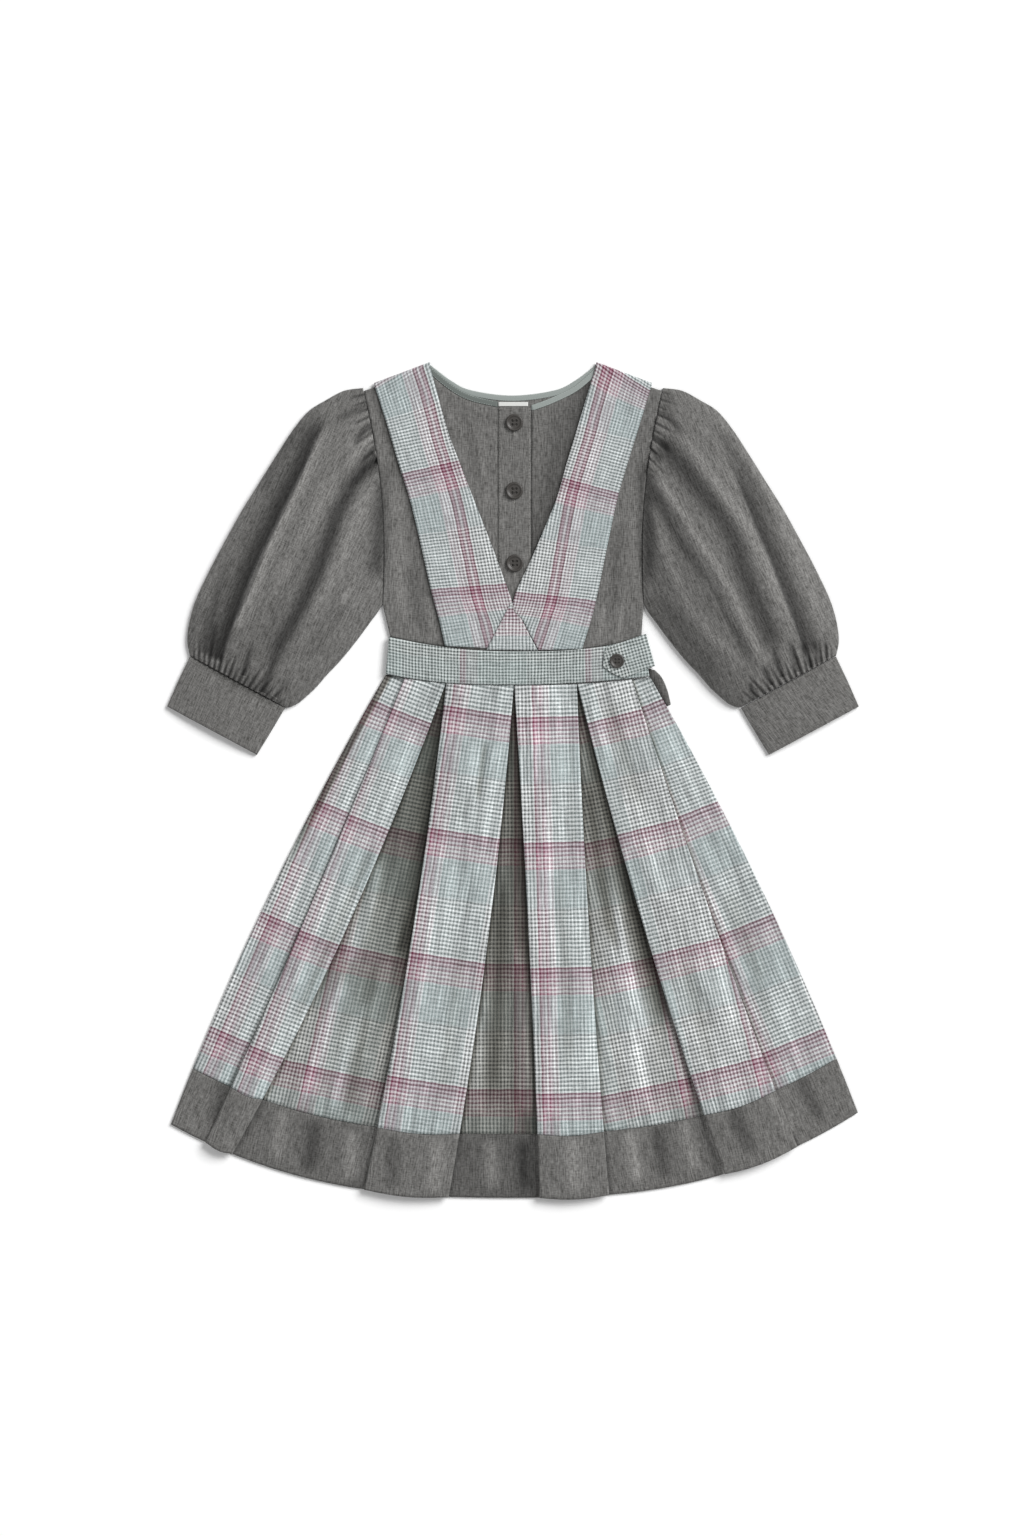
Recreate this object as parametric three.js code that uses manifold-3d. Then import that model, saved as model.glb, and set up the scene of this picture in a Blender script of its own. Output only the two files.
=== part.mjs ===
// A child's pinafore dress, laid flat on its back: a grey puff-sleeved bodice, crossed plaid straps,
// a plaid waistband and a pleated plaid skirt with a deep grey hem band. Millimetres, +Z up from the
// surface it lies on, +Y towards the neck, +X to the viewer's right. The origin is under the middle.

import * as THREE from 'three'
import { mergeVertices } from 'three/addons/utils/BufferGeometryUtils.js'
import Module from 'manifold-3d'

const wasm = await Module()
wasm.setup()

// Cloth
const WALL = 1.0
const SEAM = 0.3
const LAYER = WALL + SEAM

// Heights of the middle of each layer above the surface
const FLOOR_LAYER = WALL / 2
const BACK_LAYER = FLOOR_LAYER + LAYER
const FRONT_LAYER = BACK_LAYER + LAYER
const STRAP_LAYER = FRONT_LAYER + 1.5
const CROSSED_LAYER = STRAP_LAYER + LAYER

// Waist and waistband
const BAND_WALL = 3.0
const BACK_BAND_WALL = 1.6
const BAND_LAYER = 5.0
const BAND_ENDS = { leftTop: -111.6, rightTop: 115.9, leftBottom: -114.3, rightBottom: 122.6 }
const BAND_TOP = {
  middle: 116,
  left: { x: -111.6, rise: 13.2, power: 2 },
  right: { x: 120.6, rise: 15.2, power: 3 },
}
const BAND_BOTTOM = {
  middle: 86,
  left: { x: -114.3, rise: 9.9, power: 2.6 },
  right: { x: 123.3, rise: 8, power: 2 },
}

// Skirt: each edge crosses three levels, at the waist, half way down and at the hem seam
const SKIRT_DROP = 403.7
const HEM_BAND = 0.142
const SKIRT_SIDES = {
  left: { waist: -114.3, middle: -208.8, hem: -288, waistRise: 9.6, hemRise: 59 },
  right: { waist: 123.3, middle: 214.2, hem: 291, waistRise: 7.4, hemRise: 68 },
}
const HEM_CURVE_POWER = 2.6
const PLEATS = [
  { left: { waist: -97.6, middle: -174.6, hem: -253.8 }, right: { waist: -60.3, middle: -136.8, hem: -225 } },
  { left: { waist: -60.3, middle: -86.9, hem: -122.4 }, right: { waist: 0.9, middle: -18.9, hem: -47.7 } },
  { left: { waist: 0.9, middle: 12.6, hem: 21.6 }, right: { waist: 57.6, middle: 67.5, hem: 81.9 } },
  { left: { waist: 57.6, middle: 110.7, hem: 171.5 }, right: { waist: 107.1, middle: 169.7, hem: 236.3 } },
]
const PLEAT_TUCK = 11
const PLEAT_PITCH = { waist: 1.6, hem: 3.2 }
const PLEAT_DOME = 1.6
const PLEAT_HANG = 1.8
const SKIRT_ROWS = 10
const HEM_ROWS = 3
const BACK_COLUMNS = 12

// Bodice
const NECK = {
  frontLeft: [[-74.3, 371.6], [-54.5, 355.5], [-37.8, 346.5], [-13.8, 340.7]],
  frontRight: [[74.3, 370.8], [54.9, 354.4], [34.2, 344.0], [16.5, 337.4]],
  back: [
    [-74.3, 373.6], [-55.8, 359.6], [-37.8, 351.0], [-1.0, 346.2],
    [37.8, 351.0], [58.0, 361.0], [74.3, 373.6],
  ],
}
const BINDING_WIDTH = 4.9
const NECK_STEPS = { front: 8, back: 14 }
const SHOULDER_TIP = { x: 133.4, y: 350.6 }
const SIDE_STEPS = 3
const ARMHOLE_STEPS = 10
const BODY_ROWS = SIDE_STEPS + ARMHOLE_STEPS
const SHOULDER_STEPS = 4
const WAIST_SIDE = { left: [-110.4, 129.6], right: [115.6, 130.2] }
const PLACKET = { left: -13.5, right: 16.2, top: 336.2, wall: 1.2 }
const LABEL = { left: -13.2, right: 13.6, bottom: 336.6, top: 340.4 }

// Sleeves, drawn for the right one. A ring runs from the sleeve's outer edge to its under-edge.
const SLEEVE_WALL = 1.4
const SLEEVE_RINGS = [
  { outX: 135.0, outY: 353.0, lowX: 117.6, lowY: 158.5, height: 9.2, bow: -8 },
  { outX: 152.0, outY: 350.5, lowX: 122.0, lowY: 151.0, height: 15, bow: -4 },
  { outX: 168.3, outY: 342.0, lowX: 128.0, lowY: 143.0, height: 20, bow: -1 },
  { outX: 184.0, outY: 332.0, lowX: 136.0, lowY: 132.0, height: 24, bow: 0 },
  { outX: 198.0, outY: 315.0, lowX: 146.0, lowY: 119.0, height: 26, bow: 0 },
  { outX: 213.0, outY: 292.0, lowX: 157.0, lowY: 106.0, height: 27, bow: 0 },
  { outX: 228.0, outY: 268.0, lowX: 167.5, lowY: 95.0, height: 27, bow: 0 },
  { outX: 243.0, outY: 244.0, lowX: 177.0, lowY: 84.0, height: 27, bow: 0 },
  { outX: 258.0, outY: 217.0, lowX: 185.5, lowY: 76.0, height: 26, bow: 0 },
  { outX: 272.0, outY: 190.5, lowX: 192.5, lowY: 70.0, height: 24, bow: 0 },
  { outX: 284.5, outY: 164.0, lowX: 198.0, lowY: 67.0, height: 21, bow: 1 },
  { outX: 290.7, outY: 144.0, lowX: 201.5, lowY: 65.5, height: 17, bow: 2 },
  { outX: 293.0, outY: 126.0, lowX: 203.5, lowY: 65.2, height: 12.5, bow: 1 },
  { outX: 290.6, outY: 112.2, lowX: 204.6, lowY: 65.8, height: 9.5, bow: 0 },
]
const CUFF_RINGS = [
  { outX: 290.4, outY: 111.6, lowX: 205.2, lowY: 65.2, height: 6.6, bow: 0 },
  { outX: 301.0, outY: 89.2, lowX: 217.6, lowY: 44.2, height: 7.4, bow: 0 },
  { outX: 311.0, outY: 66.6, lowX: 230.4, lowY: 23.2, height: 6.6, bow: 0 },
]
const SLEEVE_FOLDS = {
  left: [
    { armhole: 0.10, middle: 0.12, cuff: 0.34, depth: 3.6, width: 0.07 },
    { armhole: 0.30, middle: 0.50, cuff: 0.80, depth: 4.2, width: 0.06 },
  ],
  right: [
    { armhole: 0.26, middle: 0.30, cuff: 0.46, depth: 3.8, width: 0.06 },
    { armhole: 0.44, middle: 0.56, cuff: 0.82, depth: 3.4, width: 0.07 },
  ],
}
const SLEEVE_EDGE = 3.2
const GATHERS = { armhole: 7.5, cuff: 10, depth: 1.1, reach: 0.2 }
const RING_TOP_STEPS = 30
const RING_UNDER_STEPS = 7
const ARMHOLE_LIFT = 3.0
const LIFT_SHARE = 0.083

// Straps, from the waist to the shoulder fold
const STRAP_LEFT = [
  { outX: -61.2, outY: 121.0, inX: 17.0, inY: 116.9, up: 0 },
  { outX: -67.0, outY: 146.0, inX: 8.5, inY: 140.0, up: 0 },
  { outX: -73.8, outY: 171.4, inX: -0.9, inY: 161.6, up: 0 },
  { outX: -83.0, outY: 212.0, inX: -17.0, inY: 206.0, up: 0 },
  { outX: -92.7, outY: 252.4, inX: -35.1, inY: 252.4, up: 0 },
  { outX: -103.0, outY: 285.0, inX: -48.0, inY: 286.0, up: 0 },
  { outX: -112.0, outY: 315.4, inX: -59.4, inY: 317.0, up: 0 },
]
const STRAP_RIGHT = [
  { outX: 62.1, outY: 118.2, inX: 22.8, inY: 117.2, up: 1 },
  { outX: 70.6, outY: 146.0, inX: 9.3, inY: 142.5, up: 1 },
  { outX: 76.8, outY: 172.0, inX: 0.0, inY: 160.4, up: 1 },
  { outX: 85.0, outY: 212.0, inX: 19.4, inY: 206.0, up: 0.3 },
  { outX: 93.6, outY: 252.4, inX: 38.7, inY: 252.4, up: 0 },
  { outX: 103.0, outY: 285.0, inX: 48.4, inY: 286.0, up: 0 },
  { outX: 112.4, outY: 315.4, inX: 57.8, inY: 317.0, up: 0 },
]
const STRAP_FOLD = { outX: 124.6, outY: 357.8, inX: 75.0, inY: 376.4 }
const STRAP_BACK_END = { outX: 72.0, inX: 13.0 }
const STRAP_ACROSS = 4

// The three-cornered piece and the side tab
const GUSSET = { peak: [-1.1, 161.4], left: [-24.0, 117.2], right: [22.3, 116.9] }
const TAB_WALL = 1.2
const TAB_LAYER = BAND_LAYER + BAND_WALL / 2 + SEAM + TAB_WALL / 2
const TAB_ROWS = [
  { upX: 82.2, upY: 116.6, downX: 80.6, downY: 102.6 },
  { upX: 84.6, upY: 119.8, downX: 89.0, downY: 96.4 },
  { upX: 98.5, upY: 124.4, downX: 99.6, downY: 91.4 },
  { upX: 109.0, upY: 128.2, downX: 112.0, downY: 97.0 },
  { upX: 115.6, upY: 130.6, downX: 122.6, downY: 101.4 },
]
const TAB_SLOPE = 0.3
const TAB_TURN = { upX: 119.7, upY: 131.8, downX: 127.6, downY: 103.0 }
const SIDE_PLACKET = [
  { leftX: 122.6, leftY: 100.6, rightX: 127.8, rightY: 99.2 },
  { leftX: 123.0, leftY: 92.6, rightX: 134.0, rightY: 92.4 },
  { leftX: 130.6, leftY: 80.0, rightX: 138.8, rightY: 81.4 },
  { leftX: 138.4, leftY: 67.0, rightX: 142.0, rightY: 68.4 },
]

// Buttons
const BUTTON = { radius: 7.75, height: 2.8, hole: 0.95, spread: 1.75, sides: 20, holeSides: 6 }
const BUTTON_PLACES = [[1.2, 321.8], [1.2, 260.6], [1.6, 195.4]]
const TAB_BUTTON = { x: 93.4, y: 107.4, scale: 0.84 }

const MATERIALS = {
  grey: new THREE.MeshStandardMaterial({ color: 0x6b6966, roughness: 0.95, metalness: 0 }),
  plaid: new THREE.MeshStandardMaterial({ color: 0xb6bfbc, roughness: 0.92, metalness: 0 }),
  binding: new THREE.MeshStandardMaterial({ color: 0x8f9894, roughness: 0.9, metalness: 0 }),
  label: new THREE.MeshStandardMaterial({ color: 0xe8e8e4, roughness: 0.8, metalness: 0 }),
  button: new THREE.MeshStandardMaterial({ color: 0x35322f, roughness: 0.45, metalness: 0 }),
}

const dress = new THREE.Group()
dress.name = 'pinafore_dress'

function mix(a, b, t) {
  return a + (b - a) * t
}

function ease(t) {
  const held = Math.min(Math.max(t, 0), 1)
  return held * held * (3 - 2 * held)
}

function across(levels, v) {
  const { waist, middle, hem } = levels
  return waist * (1 - v) * (1 - 2 * v) + middle * 4 * v * (1 - v) + hem * v * (2 * v - 1)
}

// A closed solid from two matching grids of points. In a ring each row already closes on itself.
function solidBetween(upper, lower, ring = false) {
  const rows = upper.length
  const columns = upper[0].length
  const points = []
  for (const grid of [upper, lower]) {
    for (const row of grid) {
      for (const p of row) {
        points.push(p.x, p.y, p.z)
      }
    }
  }
  const at = (layer, i, j) => layer * rows * columns + i * columns + j
  const faces = []
  const quad = (a, b, c, d) => faces.push(a, b, c, a, c, d)
  for (let i = 0; i < rows - 1; i++) {
    for (let j = 0; j < columns - 1; j++) {
      quad(at(0, i, j), at(0, i, j + 1), at(0, i + 1, j + 1), at(0, i + 1, j))
      quad(at(1, i, j), at(1, i + 1, j), at(1, i + 1, j + 1), at(1, i, j + 1))
    }
  }
  for (let j = 0; j < columns - 1; j++) {
    quad(at(0, 0, j + 1), at(0, 0, j), at(1, 0, j), at(1, 0, j + 1))
    quad(at(0, rows - 1, j), at(0, rows - 1, j + 1), at(1, rows - 1, j + 1), at(1, rows - 1, j))
  }
  for (let i = 0; i < rows - 1 && !ring; i++) {
    quad(at(0, i, 0), at(0, i + 1, 0), at(1, i + 1, 0), at(1, i, 0))
    quad(at(0, i + 1, columns - 1), at(0, i, columns - 1), at(1, i, columns - 1), at(1, i + 1, columns - 1))
  }
  const geometry = new THREE.BufferGeometry()
  geometry.setAttribute('position', new THREE.Float32BufferAttribute(points, 3))
  geometry.setIndex(faces)
  return geometry
}

// A cloth wall whose middle surface is a grid of points. Rows run down the cloth, columns to the right.
function clothWall(grid, wall = WALL) {
  const rows = grid.length
  const columns = grid[0].length
  const upper = []
  const lower = []
  for (let i = 0; i < rows; i++) {
    const upperRow = []
    const lowerRow = []
    for (let j = 0; j < columns; j++) {
      const up = grid[Math.max(i - 1, 0)][j]
      const down = grid[Math.min(i + 1, rows - 1)][j]
      const length = down.clone().sub(up)
      const normal = new THREE.Vector3()
      for (const k of [j - 1, j]) {
        if (k >= 0 && k + 1 < columns) {
          const step = grid[i][k + 1].clone().sub(grid[i][k])
          normal.add(length.clone().cross(step).normalize())
        }
      }
      normal.normalize().multiplyScalar(wall / 2)
      upperRow.push(grid[i][j].clone().add(normal))
      lowerRow.push(grid[i][j].clone().sub(normal))
    }
    upper.push(upperRow)
    lower.push(lowerRow)
  }
  return solidBetween(lower, upper)
}

// A flat wall over a grid of points, kept level at its edges
function flatWall(grid, wall = WALL) {
  const lifted = (by) => grid.map((row) => row.map((p) => new THREE.Vector3(p.x, p.y, p.z + by)))
  return solidBetween(lifted(-wall / 2), lifted(wall / 2))
}

function facingUp(geometry) {
  const position = geometry.attributes.position
  const index = geometry.index.array
  let volume = 0
  const [a, b, c] = [new THREE.Vector3(), new THREE.Vector3(), new THREE.Vector3()]
  for (let i = 0; i < index.length; i += 3) {
    a.fromBufferAttribute(position, index[i])
    b.fromBufferAttribute(position, index[i + 1])
    c.fromBufferAttribute(position, index[i + 2])
    volume += a.dot(b.cross(c))
  }
  if (volume < 0) {
    for (let i = 0; i < index.length; i += 3) {
      const kept = index[i]
      index[i] = index[i + 1]
      index[i + 1] = kept
    }
  }
  return geometry
}

function add(name, geometry, material) {
  const mesh = new THREE.Mesh(facingUp(geometry), MATERIALS[material].clone())
  mesh.name = name
  dress.add(mesh)
  return mesh
}

// Points along an open curve through the given plan points, at equal steps of its length
function alongCurve(points, steps) {
  const places = points.map(([x, y]) => new THREE.Vector3(x, y, 0))
  const curve = new THREE.CatmullRomCurve3(places, false, 'centripetal')
  return curve.getSpacedPoints(steps)
}

// The same curve, moved sideways in plan. A positive distance is to the left of its direction.
function beside(points, distance) {
  return points.map((p, i) => {
    const before = points[Math.max(i - 1, 0)]
    const after = points[Math.min(i + 1, points.length - 1)]
    const direction = after.clone().sub(before).normalize()
    return new THREE.Vector3(p.x - direction.y * distance, p.y + direction.x * distance, 0)
  })
}

// A grid that fills the space between four edges: bottom and top run the same way, left and right run up
function between(bottom, top, left, right, height) {
  const columns = bottom.length - 1
  const rows = left.length - 1
  const grid = []
  for (let i = rows; i >= 0; i--) {
    const v = i / rows
    const row = []
    for (let j = 0; j <= columns; j++) {
      const u = j / columns
      const plan = (axis) => {
        const edges = mix(bottom[j][axis], top[j][axis], v) + mix(left[i][axis], right[i][axis], u)
        const low = mix(bottom[0][axis], bottom[columns][axis], u)
        const high = mix(top[0][axis], top[columns][axis], u)
        return edges - mix(low, high, v)
      }
      row.push(new THREE.Vector3(plan('x'), plan('y'), height(u, v)))
    }
    grid.push(row)
  }
  return grid
}

function line(from, to, steps) {
  const points = []
  for (let i = 0; i <= steps; i++) {
    const t = i / steps
    points.push(new THREE.Vector3(mix(from[0], to[0], t), mix(from[1], to[1], t), 0))
  }
  return points
}

// Waistband edges, which rise towards the sides
function arcHeight(arc, x) {
  const side = x < 0 ? arc.left : arc.right
  return arc.middle + side.rise * Math.pow(x / side.x, side.power)
}

function bandTop(x) {
  return arcHeight(BAND_TOP, x)
}

function bandBottom(x) {
  return arcHeight(BAND_BOTTOM, x)
}

function bandGrid(inset, level) {
  const columns = 18
  const rows = 2
  const grid = []
  for (let i = 0; i <= rows; i++) {
    const v = i / rows
    const row = []
    for (let j = 0; j <= columns; j++) {
      const u = j / columns
      const xTop = mix(BAND_ENDS.leftTop + inset, BAND_ENDS.rightTop - inset, u)
      const xBottom = mix(BAND_ENDS.leftBottom + inset, BAND_ENDS.rightBottom - inset, u)
      const y = mix(bandTop(xTop), bandBottom(xBottom), v)
      row.push(new THREE.Vector3(mix(xTop, xBottom, v), y, level))
    }
    grid.push(row)
  }
  return grid
}

function makeWaistbands() {
  add('waistband_front', flatWall(bandGrid(0, BAND_LAYER), BAND_WALL), 'plaid')
  add('waistband_back', flatWall(bandGrid(1, BACK_BAND_WALL / 2), BACK_BAND_WALL), 'plaid')
}

// The height on the table plan of a point of the skirt: the hem and the plaid's cross bands curve up
// towards both sides
function skirtY(x, v) {
  const side = x < 0 ? SKIRT_SIDES.left : SKIRT_SIDES.right
  const rise = mix(side.waistRise, side.hemRise, v)
  const reach = Math.abs(x / across(side, v))
  return BAND_BOTTOM.middle - SEAM - SKIRT_DROP * v + rise * Math.pow(reach, HEM_CURVE_POWER)
}

// A fold where the cloth turns back over or under itself: three points round a half circle
function turn(edge, side, from, to) {
  const radius = Math.abs(to - from) / 2
  const centre = edge - side * (radius + WALL / 2)
  return [
    { x: centre, z: from },
    { x: centre + side * radius, z: (from + to) / 2 },
    { x: centre, z: to },
  ]
}

function level(fromX, toX, count, z) {
  const points = []
  for (let i = 1; i <= count; i++) {
    points.push({ x: mix(fromX, toX, i / (count + 1)), z })
  }
  return points
}

function raisedPanel(fromX, toX, z, v) {
  const count = 5
  const points = []
  for (let i = 1; i <= count; i++) {
    const t = i / (count + 1)
    const swell = Math.sin(Math.PI * t) * ease(v)
    points.push({ x: mix(fromX, toX, t), z: z + PLEAT_DOME * swell, hang: PLEAT_HANG * swell })
  }
  return points
}

// One section across the pleated skirt front, from its left side to its right
function skirtSection(v) {
  const pitch = mix(PLEAT_PITCH.waist, PLEAT_PITCH.hem, ease(v))
  const low = BACK_LAYER
  const mid = low + pitch
  const top = mid + pitch
  const leftX = across(SKIRT_SIDES.left, v)
  const rightX = across(SKIRT_SIDES.right, v)
  const points = [{ x: leftX, z: low }]
  let lastX = leftX
  for (const pleat of PLEATS) {
    const from = across(pleat.left, v) + SEAM / 2
    const to = across(pleat.right, v) - SEAM / 2
    points.push(...level(lastX, from + PLEAT_TUCK, 2, low))
    points.push(...turn(from + PLEAT_TUCK, 1, low, mid))
    points.push(...turn(from, -1, mid, top))
    points.push(...raisedPanel(from, to, top, v))
    points.push(...turn(to, 1, top, mid))
    points.push(...turn(to - PLEAT_TUCK, -1, mid, low))
    lastX = to - PLEAT_TUCK
  }
  points.push(...level(lastX, rightX, 2, low), { x: rightX, z: low })
  return points
}

function skirtFrontGrid(fromV, toV, rows) {
  const grid = []
  for (let i = 0; i <= rows; i++) {
    const v = mix(fromV, toV, i / rows)
    grid.push(skirtSection(v).map((p) => new THREE.Vector3(p.x, skirtY(p.x, v) - (p.hang || 0), p.z)))
  }
  return grid
}

function skirtBackGrid(fromV, toV, rows) {
  const inset = 1.2
  const grid = []
  for (let i = 0; i <= rows; i++) {
    const v = mix(fromV, toV, i / rows)
    const row = []
    for (let j = 0; j <= BACK_COLUMNS; j++) {
      const left = across(SKIRT_SIDES.left, v) + inset
      const right = across(SKIRT_SIDES.right, v) - inset
      const x = mix(left, right, j / BACK_COLUMNS)
      row.push(new THREE.Vector3(x, skirtY(x, v), FLOOR_LAYER))
    }
    grid.push(row)
  }
  return grid
}

function makeSkirt() {
  const seam = SEAM / SKIRT_DROP
  add('skirt_front', clothWall(skirtFrontGrid(0, 1, SKIRT_ROWS)), 'plaid')
  add('hem_band_front', clothWall(skirtFrontGrid(1 + seam, 1 + HEM_BAND, HEM_ROWS)), 'grey')
  add('skirt_back', flatWall(skirtBackGrid(0, 1, SKIRT_ROWS)), 'plaid')
  add('hem_band_back', flatWall(skirtBackGrid(1 + seam, 1 + HEM_BAND, 2)), 'grey')
}

// A place on a sleeve ring in plan, from its outer edge (0) to its under-edge (1)
function ringPlan(ring, side, s) {
  const spanX = ring.lowX - ring.outX
  const spanY = ring.lowY - ring.outY
  const span = Math.hypot(spanX, spanY)
  const bow = ring.bow * Math.sin(Math.PI * s)
  const x = ring.outX + spanX * s - (spanY / span) * bow
  const y = ring.outY + spanY * s + (spanX / span) * bow
  return new THREE.Vector2(side * x, y)
}

function roundTop(s) {
  return Math.pow(Math.sin(Math.PI * Math.min(Math.max(s, 0), 1)), 0.6)
}

// How far folds and gathers move the sleeve's upper wall at a place along it (0 to 1) and across it
function sleeveRelief(folds, along, s) {
  let z = 0
  for (const fold of folds) {
    const near = across({ waist: fold.armhole, middle: fold.middle, hem: fold.cuff }, along)
    const fade = Math.sin(Math.PI * mix(0.15, 0.9, along))
    z -= fold.depth * fade * Math.exp(-Math.pow((s - near) / fold.width, 2))
  }
  const atArmhole = 1 - ease(along / GATHERS.reach)
  const atCuff = 1 - ease((1 - along) / GATHERS.reach)
  z += GATHERS.depth * atArmhole * Math.sin(2 * Math.PI * GATHERS.armhole * s)
  z += GATHERS.depth * atCuff * Math.sin(2 * Math.PI * GATHERS.cuff * s)
  return z * roundTop(s)
}

// The closed outline of one ring, and the same outline one wall further in
function ringLoops(ring, side, relief) {
  const span = Math.hypot(ring.lowX - ring.outX, ring.lowY - ring.outY)
  const edge = SLEEVE_WALL / span
  const topZ = (s) => SLEEVE_EDGE + (ring.height - SLEEVE_EDGE) * roundTop(s) + relief(s)
  const loop = (inset, drop, floor) => {
    const points = []
    for (let k = 0; k <= RING_TOP_STEPS; k++) {
      const s = mix(inset, 1 - inset, k / RING_TOP_STEPS)
      const plan = ringPlan(ring, side, s)
      points.push(new THREE.Vector3(plan.x, plan.y, topZ(s) - drop))
    }
    for (let k = 0; k <= RING_UNDER_STEPS; k++) {
      const s = mix(1 - inset, inset, k / RING_UNDER_STEPS)
      const plan = ringPlan(ring, side, s)
      points.push(new THREE.Vector3(plan.x, plan.y, floor))
    }
    points.push(points[0].clone())
    return points
  }
  return { outer: loop(0, 0, 0), inner: loop(edge, SLEEVE_WALL, SLEEVE_WALL) }
}

// An open-ended tube of cloth through the rings
function tube(rings, side, folds) {
  const last = rings.length - 1
  const loops = rings.map((ring, i) => {
    const relief = (s) => (folds ? sleeveRelief(folds, i / last, s) : 0)
    return ringLoops(ring, side, relief)
  })
  const outer = loops.map((l) => l.outer)
  const inner = loops.map((l) => l.inner)
  return mergeVertices(solidBetween(outer, inner, true), 1e-4)
}

function makeSleeves() {
  for (const [name, side] of [['left', -1], ['right', 1]]) {
    add(`sleeve_${name}`, tube(SLEEVE_RINGS, side, SLEEVE_FOLDS[name]), 'grey')
    add(`cuff_${name}`, tube(CUFF_RINGS, side, null), 'grey')
  }
}

// The bodice's side edge: up the side seam, then round the armhole just inside the sleeve
function bodiceSide(side, seamSteps, armholeSteps) {
  const ring = SLEEVE_RINGS[0]
  const under = new THREE.Vector3(side * (ring.lowX - SEAM), ring.lowY + SEAM, 0)
  const waist = side < 0 ? WAIST_SIDE.left : WAIST_SIDE.right
  const points = line(waist, [under.x, under.y], seamSteps)
  for (let i = 1; i <= armholeSteps; i++) {
    const plan = ringPlan(ring, side, 1 - i / armholeSteps)
    points.push(new THREE.Vector3(plan.x - side * SEAM, plan.y, 0))
  }
  points[points.length - 1].set(side * SHOULDER_TIP.x, SHOULDER_TIP.y, 0)
  return points
}

function armholeLift(u, v) {
  const start = SIDE_STEPS / BODY_ROWS
  const round = Math.sin(Math.PI * Math.min(Math.max((v - start) / (1 - start), 0), 1))
  return ARMHOLE_LIFT * ease((u - (1 - LIFT_SHARE)) / LIFT_SHARE) * round
}

// Half of the front, from the placket's edge out to the side
function frontHalf(side, neckPoints, placketEdge) {
  const neck = alongCurve(neckPoints, NECK_STEPS.front)
  const neckEdge = beside(neck, side * (BINDING_WIDTH + SEAM)).reverse()
  const neckCorner = neckEdge[NECK_STEPS.front]
  neckEdge[0].x = placketEdge
  const shoulder = line([neckCorner.x, neckCorner.y], [side * SHOULDER_TIP.x, SHOULDER_TIP.y], SHOULDER_STEPS)
  const top = [...neckEdge, ...shoulder.slice(1)]
  const steps = NECK_STEPS.front + SHOULDER_STEPS
  const waist = side < 0 ? WAIST_SIDE.left : WAIST_SIDE.right
  const bottom = []
  for (let j = 0; j <= steps; j++) {
    const x = mix(placketEdge, waist[0], j / steps)
    bottom.push(new THREE.Vector3(x, bandTop(x) + SEAM, 0))
  }
  const left = line([bottom[0].x, bottom[0].y], [top[0].x, top[0].y], BODY_ROWS)
  const right = bodiceSide(side, SIDE_STEPS, ARMHOLE_STEPS)
  right[0].copy(bottom[steps])
  return between(bottom, top, left, right, (u, v) => FRONT_LAYER + armholeLift(u, v))
}

function makeBodice() {
  const leftEdge = PLACKET.left - SEAM
  const rightEdge = PLACKET.right + SEAM
  add('bodice_front_left', flatWall(frontHalf(-1, NECK.frontLeft, leftEdge)), 'grey')
  add('bodice_front_right', flatWall(frontHalf(1, NECK.frontRight, rightEdge)), 'grey')

  const placketRows = 12
  const placketGrid = []
  for (let i = 0; i <= placketRows; i++) {
    const row = []
    for (let j = 0; j <= 2; j++) {
      const x = mix(PLACKET.left, PLACKET.right, j / 2)
      const y = mix(PLACKET.top, bandTop(x) + SEAM, i / placketRows)
      row.push(new THREE.Vector3(x, y, FRONT_LAYER + (PLACKET.wall - WALL) / 2))
    }
    placketGrid.push(row)
  }
  add('placket', flatWall(placketGrid, PLACKET.wall), 'grey')
  makeBodiceBack()
}

function makeBodiceBack() {
  const neckEdge = beside(alongCurve(NECK.back, NECK_STEPS.back), -(BINDING_WIDTH + SEAM))
  const first = neckEdge[0]
  const last = neckEdge[NECK_STEPS.back]
  const leftShoulder = line([-SHOULDER_TIP.x, SHOULDER_TIP.y], [first.x, first.y], SHOULDER_STEPS)
  const rightShoulder = line([last.x, last.y], [SHOULDER_TIP.x, SHOULDER_TIP.y], SHOULDER_STEPS)
  const top = [...leftShoulder, ...neckEdge.slice(1), ...rightShoulder.slice(1)]
  const steps = NECK_STEPS.back + 2 * SHOULDER_STEPS
  const bottom = []
  for (let j = 0; j <= steps; j++) {
    const x = mix(WAIST_SIDE.left[0], WAIST_SIDE.right[0], j / steps)
    bottom.push(new THREE.Vector3(x, bandTop(x) + SEAM, 0))
  }
  const left = bodiceSide(-1, SIDE_STEPS, ARMHOLE_STEPS)
  const right = bodiceSide(1, SIDE_STEPS, ARMHOLE_STEPS)
  left[0].copy(bottom[0])
  right[0].copy(bottom[steps])
  add('bodice_back', flatWall(between(bottom, top, left, right, () => BACK_LAYER)), 'grey')
}

// A narrow binding along a neck curve
function bindingGrid(points, steps, side, height) {
  const outer = alongCurve(points, steps)
  const grid = []
  for (const share of [0, 0.5, 1]) {
    const row = beside(outer, side * BINDING_WIDTH * share)
    grid.push(row.map((p) => new THREE.Vector3(p.x, p.y, height)))
  }
  return grid
}

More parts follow.
